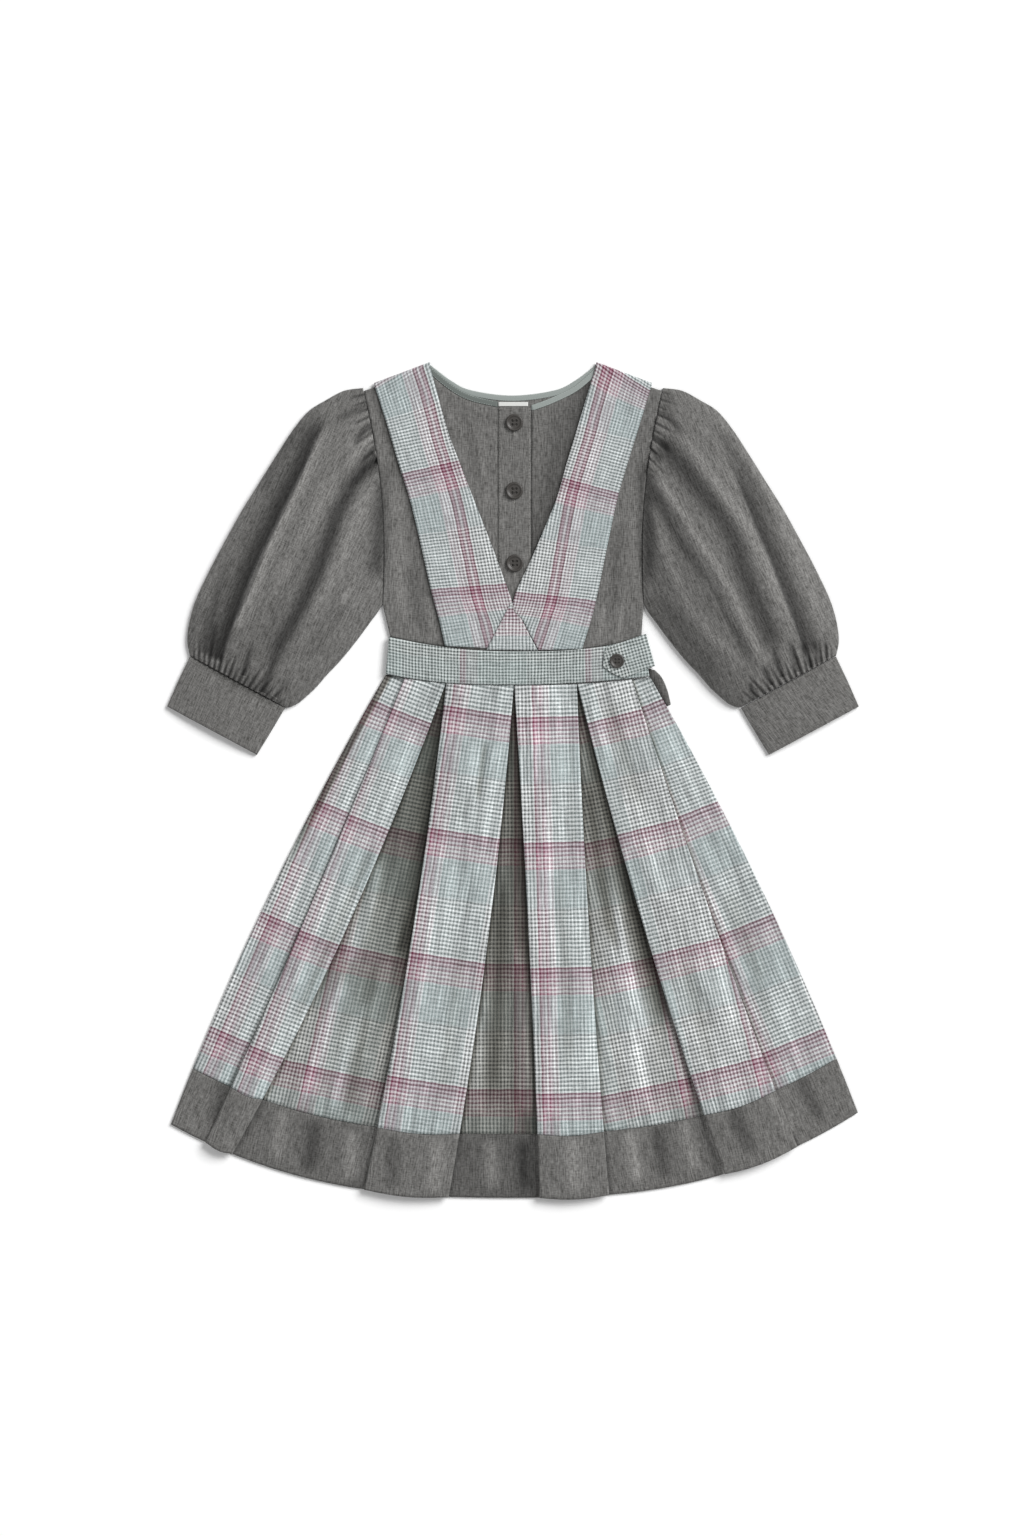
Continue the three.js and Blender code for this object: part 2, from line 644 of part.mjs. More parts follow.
function makeNeck() {
  for (const [name, side, curve] of [['left', -1, NECK.frontLeft], ['right', 1, NECK.frontRight]]) {
    const grid = bindingGrid(curve, NECK_STEPS.front, side, FRONT_LAYER)
    grid.forEach((row) => {
      row[NECK_STEPS.front].x = curve[curve.length - 1][0]
    })
    add(`neck_binding_front_${name}`, flatWall(grid), 'binding')
  }
  add('neck_binding_back', flatWall(bindingGrid(NECK.back, NECK_STEPS.back, -1, BACK_LAYER)), 'binding')

  const labelGrid = [LABEL.top, LABEL.bottom].map((y) => {
    return line([LABEL.left, y], [LABEL.right, y], 4).map((p) => new THREE.Vector3(p.x, y, FRONT_LAYER))
  })
  add('neck_label', flatWall(labelGrid), 'label')
}

function strapRow(outer, inner, z) {
  const row = []
  for (let j = 0; j <= STRAP_ACROSS; j++) {
    const t = j / STRAP_ACROSS
    row.push(new THREE.Vector3(mix(outer[0], inner[0], t), mix(outer[1], inner[1], t), z))
  }
  return row
}

// A strap lies on the front, turns over the shoulder's edge and runs down under the back
function strapGrid(rows, side) {
  const grid = []
  for (const r of rows) {
    const z = STRAP_LAYER + r.up * LAYER
    grid.push(strapRow([r.outX, r.outY], [r.inX, r.inY], z))
  }
  const radius = (STRAP_LAYER - FLOOR_LAYER) / 2
  const fold = STRAP_FOLD
  const turnSteps = 6
  for (let i = 0; i <= turnSteps; i++) {
    const angle = (Math.PI * i) / turnSteps
    const back = radius + WALL / 2 - radius * Math.sin(angle)
    const z = (STRAP_LAYER + FLOOR_LAYER) / 2 + radius * Math.cos(angle)
    const outer = [side * fold.outX, fold.outY - back]
    const inner = [side * fold.inX, fold.inY - back]
    grid.push(strapRow(outer, inner, z))
  }
  const backSteps = 5
  const end = STRAP_BACK_END
  for (let i = 1; i <= backSteps; i++) {
    const t = i / backSteps
    const outX = side * mix(fold.outX, end.outX, t)
    const inX = side * mix(fold.inX, end.inX, t)
    const outY = mix(fold.outY - radius, bandTop(side * end.outX) + SEAM, t)
    const inY = mix(fold.inY - radius, bandTop(side * end.inX) + SEAM, t)
    grid.push(strapRow([outX, outY], [inX, inY], FLOOR_LAYER))
  }
  return grid
}

function makeStraps() {
  add('strap_left', clothWall(strapGrid(STRAP_LEFT, -1)), 'plaid')
  add('strap_right', clothWall(strapGrid(STRAP_RIGHT, 1)), 'plaid')

  const rows = 4
  const grid = []
  for (let i = 0; i <= rows; i++) {
    const t = mix(0.03, 1, i / rows)
    const left = [mix(GUSSET.peak[0], GUSSET.left[0], t), mix(GUSSET.peak[1], GUSSET.left[1], t)]
    const right = [mix(GUSSET.peak[0], GUSSET.right[0], t), mix(GUSSET.peak[1], GUSSET.right[1], t)]
    grid.push(line(left, right, 4).map((p) => new THREE.Vector3(p.x, p.y, CROSSED_LAYER)))
  }
  add('strap_gusset', flatWall(grid), 'plaid')
}

// The tab lies on the front waistband, turns round the side and meets the back waistband's end
function makeTab() {
  const tabRow = (r, z) => {
    const row = []
    for (let j = 0; j <= 2; j++) {
      row.push(new THREE.Vector3(mix(r.upX, r.downX, j / 2), mix(r.upY, r.downY, j / 2), z))
    }
    return row
  }
  const grid = TAB_ROWS.map((r) => tabRow(r, TAB_LAYER))
  const low = TAB_WALL / 2
  const radius = (TAB_LAYER - low) / 2
  const shifted = (by) => ({
    upX: TAB_TURN.upX - by,
    upY: TAB_TURN.upY - by * TAB_SLOPE,
    downX: TAB_TURN.downX - by,
    downY: TAB_TURN.downY - by * TAB_SLOPE,
  })
  const steps = 6
  for (let i = 0; i <= steps; i++) {
    const angle = (Math.PI * i) / steps
    const back = radius + TAB_WALL / 2 - radius * Math.sin(angle)
    grid.push(tabRow(shifted(back), low + radius + radius * Math.cos(angle)))
  }
  add('waist_tab', clothWall(grid, TAB_WALL), 'plaid')
}

function makeSidePlacket() {
  const grid = SIDE_PLACKET.map((r) => {
    const row = line([r.leftX, r.leftY], [r.rightX, r.rightY], 2)
    return row.map((p) => new THREE.Vector3(p.x, p.y, FLOOR_LAYER))
  })
  add('side_placket', flatWall(grid), 'grey')
}

function toManifold(geometry) {
  const bare = geometry.clone()
  bare.deleteAttribute('normal')
  bare.deleteAttribute('uv')
  const merged = mergeVertices(bare, 1e-4)
  const vertProperties = new Float32Array(merged.attributes.position.array)
  const triVerts = new Uint32Array(merged.index.array)
  return new wasm.Manifold(new wasm.Mesh({ numProp: 3, vertProperties, triVerts }))
}

function fromManifold(solid) {
  const mesh = solid.getMesh()
  const geometry = new THREE.BufferGeometry()
  geometry.setAttribute('position', new THREE.Float32BufferAttribute(mesh.vertProperties, 3))
  geometry.setIndex(Array.from(mesh.triVerts))
  return geometry
}

// A round button with a raised rim, a dished middle and four thread holes
function buttonShape() {
  const { radius, height } = BUTTON
  const profile = [
    [0, 0], [radius * 0.82, 0], [radius * 0.97, height * 0.28],
    [radius, height * 0.6], [radius * 0.95, height * 0.92], [radius * 0.85, height],
    [radius * 0.72, height * 0.86], [radius * 0.62, height * 0.68], [0, height * 0.64],
  ]
  const outline = profile.map(([r, z]) => new THREE.Vector2(r, z))
  const body = new THREE.LatheGeometry(outline, BUTTON.sides)
  body.rotateX(Math.PI / 2)
  let solid = toManifold(body)
  for (const sx of [-1, 1]) {
    for (const sy of [-1, 1]) {
      const hole = new THREE.CylinderGeometry(BUTTON.hole, BUTTON.hole, height * 3, BUTTON.holeSides)
      hole.rotateX(Math.PI / 2)
      hole.translate(sx * BUTTON.spread, sy * BUTTON.spread, 0)
      solid = solid.subtract(toManifold(hole))
    }
  }
  return fromManifold(solid)
}

function makeButtons() {
  const shape = buttonShape()
  const placketTop = FRONT_LAYER - WALL / 2 + PLACKET.wall
  BUTTON_PLACES.forEach(([x, y], i) => {
    const button = add(`button_${i + 1}`, shape.clone(), 'button')
    button.position.set(x, y, placketTop + SEAM)
  })
  const small = shape.clone()
  small.scale(TAB_BUTTON.scale, TAB_BUTTON.scale, TAB_BUTTON.scale)
  const tabButton = add('tab_button', small, 'button')
  tabButton.position.set(TAB_BUTTON.x, TAB_BUTTON.y, TAB_LAYER + TAB_WALL / 2 + SEAM)
}

makeSkirt()
makeWaistbands()
makeBodice()
makeNeck()
makeSleeves()
makeStraps()
makeTab()
makeSidePlacket()
makeButtons()

export default dress
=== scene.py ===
# A pinafore dress, laid flat: the cloth, sewing and buttons on its solids, and the stage they lie on.
# Lengths in the tables are millimetres, in the frame's own axes: +X to the viewer's right, +Y towards
# the neck and +Z up from the surface.

import math
from collections import namedtuple

import bmesh
import bpy
from mathutils import Matrix, Vector


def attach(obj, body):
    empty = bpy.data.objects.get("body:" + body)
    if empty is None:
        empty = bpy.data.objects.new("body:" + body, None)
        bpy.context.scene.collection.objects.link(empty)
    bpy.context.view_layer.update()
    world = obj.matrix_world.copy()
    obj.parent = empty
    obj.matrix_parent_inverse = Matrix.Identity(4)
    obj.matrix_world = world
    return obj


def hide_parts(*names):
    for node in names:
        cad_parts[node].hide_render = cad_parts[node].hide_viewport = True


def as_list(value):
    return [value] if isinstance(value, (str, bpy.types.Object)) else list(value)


bl_info = {
    "name": "Pinafore dress",
    "version": (1, 0, 0),
    "blender": (4, 2, 0),
    "location": "View3D > Sidebar > Dress",
    "description": "Makes the cloth, sewing and buttons of a child's pinafore dress, laid flat",
    "category": "Object",
}

MM = 0.001
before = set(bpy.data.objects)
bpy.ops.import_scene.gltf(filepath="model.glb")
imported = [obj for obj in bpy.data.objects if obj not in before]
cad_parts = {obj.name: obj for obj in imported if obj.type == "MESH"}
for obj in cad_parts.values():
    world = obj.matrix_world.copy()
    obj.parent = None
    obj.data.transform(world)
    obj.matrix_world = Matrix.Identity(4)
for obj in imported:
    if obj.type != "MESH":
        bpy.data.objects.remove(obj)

# Heights of the middle of each layer of cloth
SEAM = 0.3
WALL = 1.0
FLOOR_LAYER = 0.5
BACK_LAYER = 1.8
FRONT_LAYER = 3.1
STRAP_LAYER = 4.6
CROSSED_LAYER = 5.9
BAND_LAYER = 5.0
BAND_WALL = 3.0
TAB_LAYER = 7.4
TAB_WALL = 1.2

# Waistband ends, and its edges, which rise towards the sides
BAND_ENDS = {"left_top": -111.6, "right_top": 115.9, "left_bottom": -114.3, "right_bottom": 122.6}
Arc = namedtuple("Arc", "middle left_x left_rise left_power right_x right_rise right_power")
BAND_TOP = Arc(116, -111.6, 13.2, 2, 120.6, 15.2, 3)
BAND_BOTTOM = Arc(86, -114.3, 9.9, 2.6, 123.3, 8, 2)

# Skirt edges, each at the waist, half way down and at the hem seam
Levels = namedtuple("Levels", "waist middle hem")
SKIRT_DROP = 403.7
HEM_BAND = 0.142
HEM_CURVE_POWER = 2.6
LEFT_SIDE = Levels(-114.3, -208.8, -288)
RIGHT_SIDE = Levels(123.3, 214.2, 291)
LEFT_RISE = (9.6, 59)
RIGHT_RISE = (7.4, 68)
PLEATS = [
    (Levels(-97.6, -174.6, -253.8), Levels(-60.3, -136.8, -225)),
    (Levels(-60.3, -86.9, -122.4), Levels(0.9, -18.9, -47.7)),
    (Levels(0.9, 12.6, 21.6), Levels(57.6, 67.5, 81.9)),
    (Levels(57.6, 110.7, 171.5), Levels(107.1, 169.7, 236.3)),
]
PLEAT_TUCK = 11
PLEAT_PITCH = (1.6, 3.2)
PLEAT_DOME = 1.6
PLEAT_HANG = 1.8
SKIRT_ROWS = 120
HEM_ROWS = 22
SIDE_COLUMNS = 24
UNDER_COLUMNS = 26
TURN_COLUMNS = 5
TUCK_COLUMNS = 2
PANEL_COLUMNS = 40

# How the check lies on each part of the skirt, from its left side to its right: the lean of its warp in
# degrees, a place on the top edge of a cross band, and a place on a wine stripe down the cloth
Lay = namedtuple("Lay", "lean band_x band_y stripe_x stripe_y")
SKIRT_LAYS = [
    Lay(23, -225.6, -118.9, -225.6, -139.3),
    Lay(21, -174.6, -141.3, -191.0, -133.2),
    Lay(13, -129.8, -153.5, -162.5, -159.8),
    Lay(9, -58.5, -159.8, -92.0, -164.0),
    Lay(0, 5.0, -165.6, 1.8, -190.0),
    Lay(-1.5, 42.8, -168.7, 18.0, 59.0),
    Lay(-12, 93.0, -166.6, 145.4, -253.4),
    Lay(-14.5, 151.7, -150.9, 193.5, -168.0),
    Lay(-22, 210.4, -130.0, 227.7, -260.6),
]

# Creases: a path through three places in plan, the height of its middle (below 0 for a trough), and
# how far it reaches to its left and right
Crease = namedtuple("Crease", "x0 y0 x1 y1 x2 y2 rise left right")
SKIRT_CREASES = {
    1: [
        Crease(-84, 60, -110, -10, -140, -80, 1.6, 5, 8),
        Crease(-120, -40, -158, -130, -204, -230, -1.4, 6, 4),
        Crease(-178, -150, -208, -220, -236, -292, 1.3, 6, 6),
    ],
    2: [
        Crease(-120.2, -65, -138, -145, -150, -172, 3.2, 4, 9),
        Crease(-84.6, -95, -93, -125, -105, -158, -3.8, 5, 3),
        Crease(-150, -170, -172, -235, -190, -300, 2.1, 8, 6),
        Crease(-118, -150, -136, -230, -146, -312, -1.9, 5, 10),
        Crease(-128, -190, -150, -250, -162, -305, 1.8, 6, 6),
    ],
    3: [
        Crease(-23.6, 37.4, -28.5, 8, -31.5, -21.2, -2.6, 2.2, 3.4),
        Crease(-38.7, -5.9, -43, -24, -47.2, -40.6, -1.6, 4, 6),
        Crease(-34, 40, -40, -10, -50, -60, 1.4, 5, 5),
        Crease(-12, 60, -20, 0, -30, -60, 1.4, 5, 4),
        Crease(-60, -60, -72, -150, -90, -240, 1.1, 9, 9),
        Crease(-45, -140, -56, -220, -66, -300, -1.1, 8, 6),
        Crease(-84, -200, -94, -260, -104, -316, 1.0, 7, 7),
    ],
    4: [
        Crease(2.7, -137, 8, -220, 13, -314, 3.0, 7, 6),
        Crease(-9, -70, -12, -170, -18, -300, -2.4, 6, 7),
        Crease(-24, -180, -30, -240, -36, -314, 1.4, 5, 6),
    ],
    5: [
        Crease(14, 76, 18, 40, 20, -10, 1.3, 4, 5),
        Crease(40, 78, 40, 50, 40, 24, 1.4, 2.6, 3.4),
        Crease(27, -20, 30, -60, 29, -130, 1.4, 4, 5),
        Crease(52, 70, 52, 0, 56, -80, -1.3, 5, 4),
        Crease(40, -60, 47, -160, 50, -280, -1.4, 6, 7),
        Crease(60, -110, 66, -200, 70, -290, 1.3, 6, 5),
        Crease(30, -190, 33, -250, 34, -310, 1.1, 6, 8),
    ],
    6: [
        Crease(65.7, 18.5, 78.3, -77.9, 100.8, -182.3, -3.2, 4, 6),
        Crease(83.7, -122.9, 113.4, -257, 117.9, -302, 3.2, 6, 7),
        Crease(96, -60, 116, -140, 138, -240, -2.2, 7, 6),
        Crease(88, -90, 104, -170, 124, -250, 2.1, 4, 6),
        Crease(132, -200, 145, -250, 156, -300, 1.6, 6, 6),
    ],
    7: [
        Crease(64, 76, 78, 40, 92, 0, 1.6, 5, 8),
        Crease(84, 78, 98, 30, 116, -30, -1.4, 6, 7),
        Crease(110, -30, 132, -100, 156, -180, 1.3, 8, 8),
        Crease(130, -90, 158, -180, 186, -270, -1.4, 8, 8),
        Crease(150, -70, 176, -150, 204, -240, 1.3, 7, 7),
        Crease(176, -220, 190, -260, 200, -290, 1.1, 6, 6),
    ],
    8: [
        Crease(130, 60, 156, 0, 176, -60, 1.0, 6, 6),
        Crease(190, -90, 216, -160, 240, -230, -1.0, 7, 7),
        Crease(222, -170, 244, -220, 262, -262, 1.0, 6, 6),
    ],
    0: [
        Crease(-112, 70, -142, 0, -172, -70, 0.8, 5, 5),
        Crease(-190, -110, -222, -180, -252, -250, 0.8, 6, 6),
    ],
}
HEM_CREASES = [
    Crease(-258, -262, -262, -285, -268, -312, -2.0, 6, 9),
    Crease(-207, -292, -212, -320, -216, -346, 1.8, 7, 5),
    Crease(-178, -302, -180, -330, -184, -356, -2.6, 6, 8),
    Crease(-146, -312, -148, -340, -150, -364, 2.3, 8, 6),
    Crease(-108, -318, -110, -345, -112, -370, -2.0, 7, 7),
    Crease(-70, -320, -72, -345, -74, -374, 2.0, 9, 6),
    Crease(-22, -320, -20, -345, -18, -372, 2.3, 6, 8),
    Crease(8, -320, 9, -345, 10, -374, -2.3, 6, 5),
    Crease(50, -318, 52, -345, 54, -374, 2.0, 10, 8),
    Crease(104, -312, 108, -338, 112, -366, 2.6, 5, 8),
    Crease(128, -306, 133, -335, 138, -362, -2.3, 7, 6),
    Crease(150, -302, 158, -330, 166, -356, 2.0, 6, 6),
    Crease(196, -290, 206, -315, 216, -338, -2.6, 5, 9),
    Crease(228, -276, 240, -300, 252, -322, 2.3, 6, 5),
    Crease(256, -262, 268, -286, 280, -308, -2.0, 5, 7),
]

# Bodice
NECK_LEFT = [(-74.3, 371.6), (-54.5, 355.5), (-37.8, 346.5), (-13.8, 340.7)]
NECK_RIGHT = [(74.3, 370.8), (54.9, 354.4), (34.2, 344.0), (16.5, 337.4)]
NECK_BACK = [
    (-74.3, 373.6), (-55.8, 359.6), (-37.8, 351.0), (-1.0, 346.2), (37.8, 351.0), (58.0, 361.0), (74.3, 373.6),
]
BINDING_WIDTH = 4.9
SHOULDER_TIP = (133.4, 350.6)
WAIST_LEFT = (-110.4, 129.6)
WAIST_RIGHT = (115.6, 130.2)
PLACKET = {"left": -13.5, "right": 16.2, "top": 336.2, "wall": 1.2}
LABEL = {"left": -13.2, "right": 13.6, "bottom": 336.6, "top": 340.4}
ARMHOLE_START = 3 / 13
ARMHOLE_LIFT = 3.0
LIFT_SHARE = 0.083
# Sleeves, drawn for the right one. A ring runs from the sleeve's outer edge to its under-edge.
Ring = namedtuple("Ring", "out_x out_y low_x low_y height bow")
SLEEVE_RINGS = [
    Ring(135.0, 353.0, 117.6, 158.5, 9.2, -8),
    Ring(152.0, 350.5, 122.0, 151.0, 15, -4),
    Ring(168.3, 342.0, 128.0, 143.0, 20, -1),
    Ring(184.0, 332.0, 136.0, 132.0, 24, 0),
    Ring(198.0, 315.0, 146.0, 119.0, 26, 0),
    Ring(213.0, 292.0, 157.0, 106.0, 27, 0),
    Ring(228.0, 268.0, 167.5, 95.0, 27, 0),
    Ring(243.0, 244.0, 177.0, 84.0, 27, 0),
    Ring(258.0, 217.0, 185.5, 76.0, 26, 0),
    Ring(272.0, 190.5, 192.5, 70.0, 24, 0),
    Ring(284.5, 164.0, 198.0, 67.0, 21, 1),
    Ring(290.7, 144.0, 201.2, 65.9, 17, 2),
    Ring(293.0, 126.0, 203.1, 65.7, 12.5, 1),
    Ring(290.6, 112.2, 204.6, 65.8, 9.5, 0),
]
CUFF_RINGS = [
    Ring(290.4, 111.6, 205.2, 65.2, 6.6, 0),
    Ring(301.0, 89.2, 217.6, 44.2, 7.4, 0),
    Ring(311.0, 66.6, 230.4, 23.2, 6.6, 0),
]
SLEEVE_EDGE = 3.2
SLEEVE_LEAN = 23
SLEEVE_WALL = 1.4

# Folds: how much one raises the cloth (below 0 for a trough) and its tone, a painted highlight above 0
# and painted shade below 0, its reach to the left and right of its way, the share of it over which each end fades,
# and its way in the photograph's pixels
PIXEL = 0.9
PICTURE_X = 513
PICTURE_Y = 780.5
Fold = namedtuple("Fold", "rise tone left right head tail places")
SLEEVE_FOLDS = {
    -1: [
        Fold(-4.5, -0.50, 2.6, 12, 0.12, 0.06, [
            (329, 411), (317, 436), (303, 467), (289, 494), (274, 525), (258, 557), (245, 588), (235, 615),
            (227, 637), (221, 652), (219, 664),
        ]),
        Fold(2.0, 0.25, 7, 1.4, 0.15, 0.1, [
            (327, 424), (315, 443), (305, 472), (296, 494), (281, 523), (267, 554), (252, 593), (240, 617),
            (230, 637),
        ]),
        Fold(-4.5, -0.42, 6, 8, 0.02, 0.12, [
            (380, 458), (364, 473), (351, 489), (339, 513), (327, 547), (315, 579), (298, 615), (281, 644),
            (267, 673),
        ]),
        Fold(-2.0, -0.40, 1.6, 1.8, 0.02, 0.4, [(380, 459), (366, 469), (355, 482), (349, 492)]),
        Fold(2.2, 0.12, 9, 9, 0.25, 0.25, [(336, 470), (322, 500), (302, 540), (282, 578), (260, 616)]),
        Fold(-1.0, -0.10, 4, 6, 0.3, 0.2, [(322, 520), (306, 552), (290, 584), (272, 622), (254, 664)]),
        Fold(-1.2, -0.16, 3, 7, 0.3, 0.3, [(352, 596), (336, 622), (318, 648), (300, 668)]),
        Fold(0.8, 0.10, 4, 2, 0.3, 0.2, [(362, 560), (346, 596), (326, 632), (306, 660)]),
        Fold(-0.8, -0.14, 5, 5, 0.3, 0.3, [(306, 418), (286, 444), (270, 474), (254, 506)]),
        Fold(2.2, 0.13, 6, 7, 0.25, 0.25, [
            (376, 478), (366, 505), (352, 535), (338, 570), (318, 606), (297, 642),
        ]),
        Fold(-3.0, -0.34, 7, 8, 0.1, 0.2, [(385, 478), (382, 515), (379, 550), (373, 586)]),
        Fold(1.5, 0.10, 8, 8, 0.2, 0.2, [(276, 453), (240, 516), (213, 574), (197, 620)]),
        Fold(-1.8, -0.20, 4, 6, 0.3, 0.05, [(228, 560), (216, 600), (209, 630), (203, 655)]),
        Fold(-1.5, -0.22, 2.5, 3, 0.4, 0.02, [(218, 618), (213, 640), (210, 657)]),
        Fold(-1.8, -0.30, 3, 2.5, 0.4, 0.02, [(254, 640), (248, 658), (243, 676)]),
        Fold(-2.0, -0.34, 4, 3, 0.4, 0.02, [(278, 650), (270, 672), (262, 693)]),
        Fold(-1.5, -0.18, 3, 3, 0.4, 0.02, [(290, 676), (282, 690), (276, 698)]),
        Fold(-1.8, -0.24, 4, 3, 0.02, 0.4, [(371, 404), (356, 410), (340, 418), (330, 428)]),
        Fold(-2.2, -0.40, 2.6, 2.2, 0.02, 0.4, [(375, 425), (362, 434), (352, 447)]),
        Fold(-2.0, -0.30, 2.4, 2.0, 0.02, 0.4, [(378, 444), (368, 455), (360, 466)]),
        Fold(1.6, 0.16, 4, 4, 0.1, 0.4, [(376, 433), (364, 445), (352, 462), (342, 480)]),
        Fold(-1.2, -0.18, 3, 3, 0.02, 0.5, [(366, 395), (356, 397), (346, 402)]),
    ],
    1: [
        Fold(-4.5, -0.33, 9, 9, 0.05, 0.15, [
            (655, 440), (674, 462), (694, 489), (714, 514), (729, 539), (739, 569), (749, 596), (759, 618),
            (769, 643), (774, 658),
        ]),
        Fold(2.2, 0.16, 5, 6, 0.1, 0.2, [
            (647, 459), (664, 492), (682, 519), (699, 549), (714, 569), (727, 591), (739, 616), (749, 638),
            (759, 660), (770, 678),
        ]),
        Fold(2.4, 0.14, 6, 8, 0.15, 0.2, [
            (672, 425), (694, 457), (712, 484), (739, 521), (757, 551), (770, 579), (783, 611), (794, 643),
        ]),
        Fold(-4.5, -0.39, 11, 2.4, 0.3, 0.1, [
            (714, 430), (727, 457), (741, 489), (751, 514), (761, 539), (771, 561), (781, 588), (793, 618),
            (803, 645), (807, 660),
        ]),
        Fold(-1.0, -0.13, 5, 3, 0.3, 0.2, [(700, 420), (722, 440), (742, 466), (762, 500), (782, 540)]),
        Fold(1.0, 0.10, 2, 4, 0.3, 0.2, [(690, 560), (706, 590), (722, 622), (738, 656)]),
        Fold(1.8, 0.11, 6, 6, 0.2, 0.2, [
            (650, 499), (657, 534), (665, 564), (682, 603), (704, 633), (729, 658), (747, 683),
        ]),
        Fold(-2.4, -0.18, 5, 6, 0.1, 0.2, [
            (649, 484), (660, 512), (674, 539), (699, 578), (717, 611), (739, 648), (754, 673),
        ]),
        Fold(-2.6, -0.28, 6, 6, 0.1, 0.2, [(645, 466), (646, 529), (648, 590)]),
        Fold(-1.2, -0.13, 6, 6, 0.2, 0.2, [(652, 594), (674, 620), (699, 658), (722, 685)]),
        Fold(1.4, 0.09, 7, 6, 0.2, 0.2, [(742, 440), (770, 497), (795, 552), (813, 606), (820, 640)]),
        Fold(-2.2, -0.31, 3, 2.4, 0.02, 0.4, [(656, 412), (666, 417), (676, 428), (684, 440)]),
        Fold(-2.2, -0.33, 2.6, 2.2, 0.02, 0.4, [(650, 436), (660, 442), (672, 457)]),
        Fold(-1.6, -0.22, 2.2, 2.0, 0.02, 0.4, [(648, 449), (654, 455), (662, 468)]),
        Fold(-1.4, -0.20, 2.4, 2.4, 0.02, 0.5, [(662, 395), (668, 399), (676, 400)]),
        Fold(-1.4, -0.17, 2.2, 2.2, 0.02, 0.5, [(658, 404), (666, 407), (672, 407)]),
        Fold(-2.0, -0.28, 3, 3, 0.4, 0.02, [(746, 680), (751, 691), (755, 700)]),
        Fold(-2.0, -0.28, 3, 3, 0.4, 0.02, [(760, 664), (765, 675), (770, 686)]),
        Fold(-2.2, -0.33, 3, 3, 0.4, 0.02, [(768, 645), (775, 662), (781, 678)]),
        Fold(-2.0, -0.28, 2.6, 3, 0.4, 0.02, [(786, 640), (792, 656), (796, 673)]),
        Fold(-2.2, -0.33, 3, 3, 0.4, 0.02, [(798, 640), (805, 654), (811, 668)]),
        Fold(-1.8, -0.24, 2.4, 3, 0.4, 0.02, [(811, 636), (815, 650), (819, 663)]),
        Fold(-1.4, -0.20, 2.4, 2.4, 0.4, 0.02, [(822, 636), (825, 648), (827, 658)]),
    ],
}

BODICE_FOLDS = {
    -1: [
        Fold(0.8, 0.09, 7, 6, 0.2, 0.2, [(396, 470), (398, 530), (397, 590), (402, 630)]),
        Fold(-0.8, -0.20, 4, 6, 0.2, 0.2, [(386, 455), (385, 520), (386, 585)]),
        Fold(-0.6, -0.10, 5, 6, 0.2, 0.2, [(412, 560), (416, 600), (424, 640)]),
        Fold(0.5, 0.07, 4, 4, 0.2, 0.2, [(478, 430), (482, 470), (488, 520)]),
        Fold(-0.5, -0.07, 5, 5, 0.2, 0.2, [(462, 400), (470, 440), (484, 500)]),
        Fold(0.5, 0.09, 4, 4, 0.2, 0.2, [(424, 590), (430, 620), (438, 645)]),
    ],
    1: [
        Fold(-0.8, -0.20, 5, 4, 0.2, 0.2, [(643, 455), (643, 515), (641, 585)]),
        Fold(0.8, 0.09, 5, 6, 0.2, 0.2, [(634, 480), (634, 535), (635, 600)]),
        Fold(-0.6, -0.11, 5, 5, 0.2, 0.2, [(620, 520), (614, 570), (611, 625)]),
        Fold(0.6, 0.12, 3, 3, 0.2, 0.1, [(604, 604), (600, 625), (597, 645)]),
        Fold(0.5, 0.09, 3, 3, 0.2, 0.1, [(622, 600), (619, 625), (618, 645)]),
        Fold(-0.5, -0.06, 5, 5, 0.2, 0.2, [(556, 410), (552, 450), (544, 500)]),
    ],
}

# Gathers: a place across the ring from the outer edge (0) to the under-edge (1), length and depth
Gather = namedtuple("Gather", "place length depth width")
ARMHOLE_FAN = (0.1, 2.2)
CUFF_FAN = (-0.55, 0.55)
ARMHOLE_GATHERS = {
    -1: [
        Gather(0.03, 11, 1.2, 1.2), Gather(0.065, 16, 1.5, 1.2), Gather(0.10, 11, 1.3, 1.2),
        Gather(0.135, 18, 1.7, 1.4), Gather(0.17, 12, 1.4, 1.2), Gather(0.21, 22, 1.7, 1.6),
        Gather(0.25, 12, 1.4, 1.2), Gather(0.29, 16, 1.6, 1.4), Gather(0.335, 14, 1.4, 1.4),
        Gather(0.38, 8, 0.8, 1.4),
    ],
    1: [
        Gather(0.02, 10, 1.2, 1.2), Gather(0.055, 17, 1.5, 1.4), Gather(0.09, 11, 1.3, 1.2),
        Gather(0.125, 14, 1.5, 1.2), Gather(0.165, 20, 1.7, 1.4), Gather(0.20, 12, 1.4, 1.2),
        Gather(0.24, 16, 1.6, 1.4), Gather(0.285, 12, 1.4, 1.2), Gather(0.33, 14, 1.4, 1.4),
        Gather(0.37, 8, 0.8, 1.4),
    ],
}
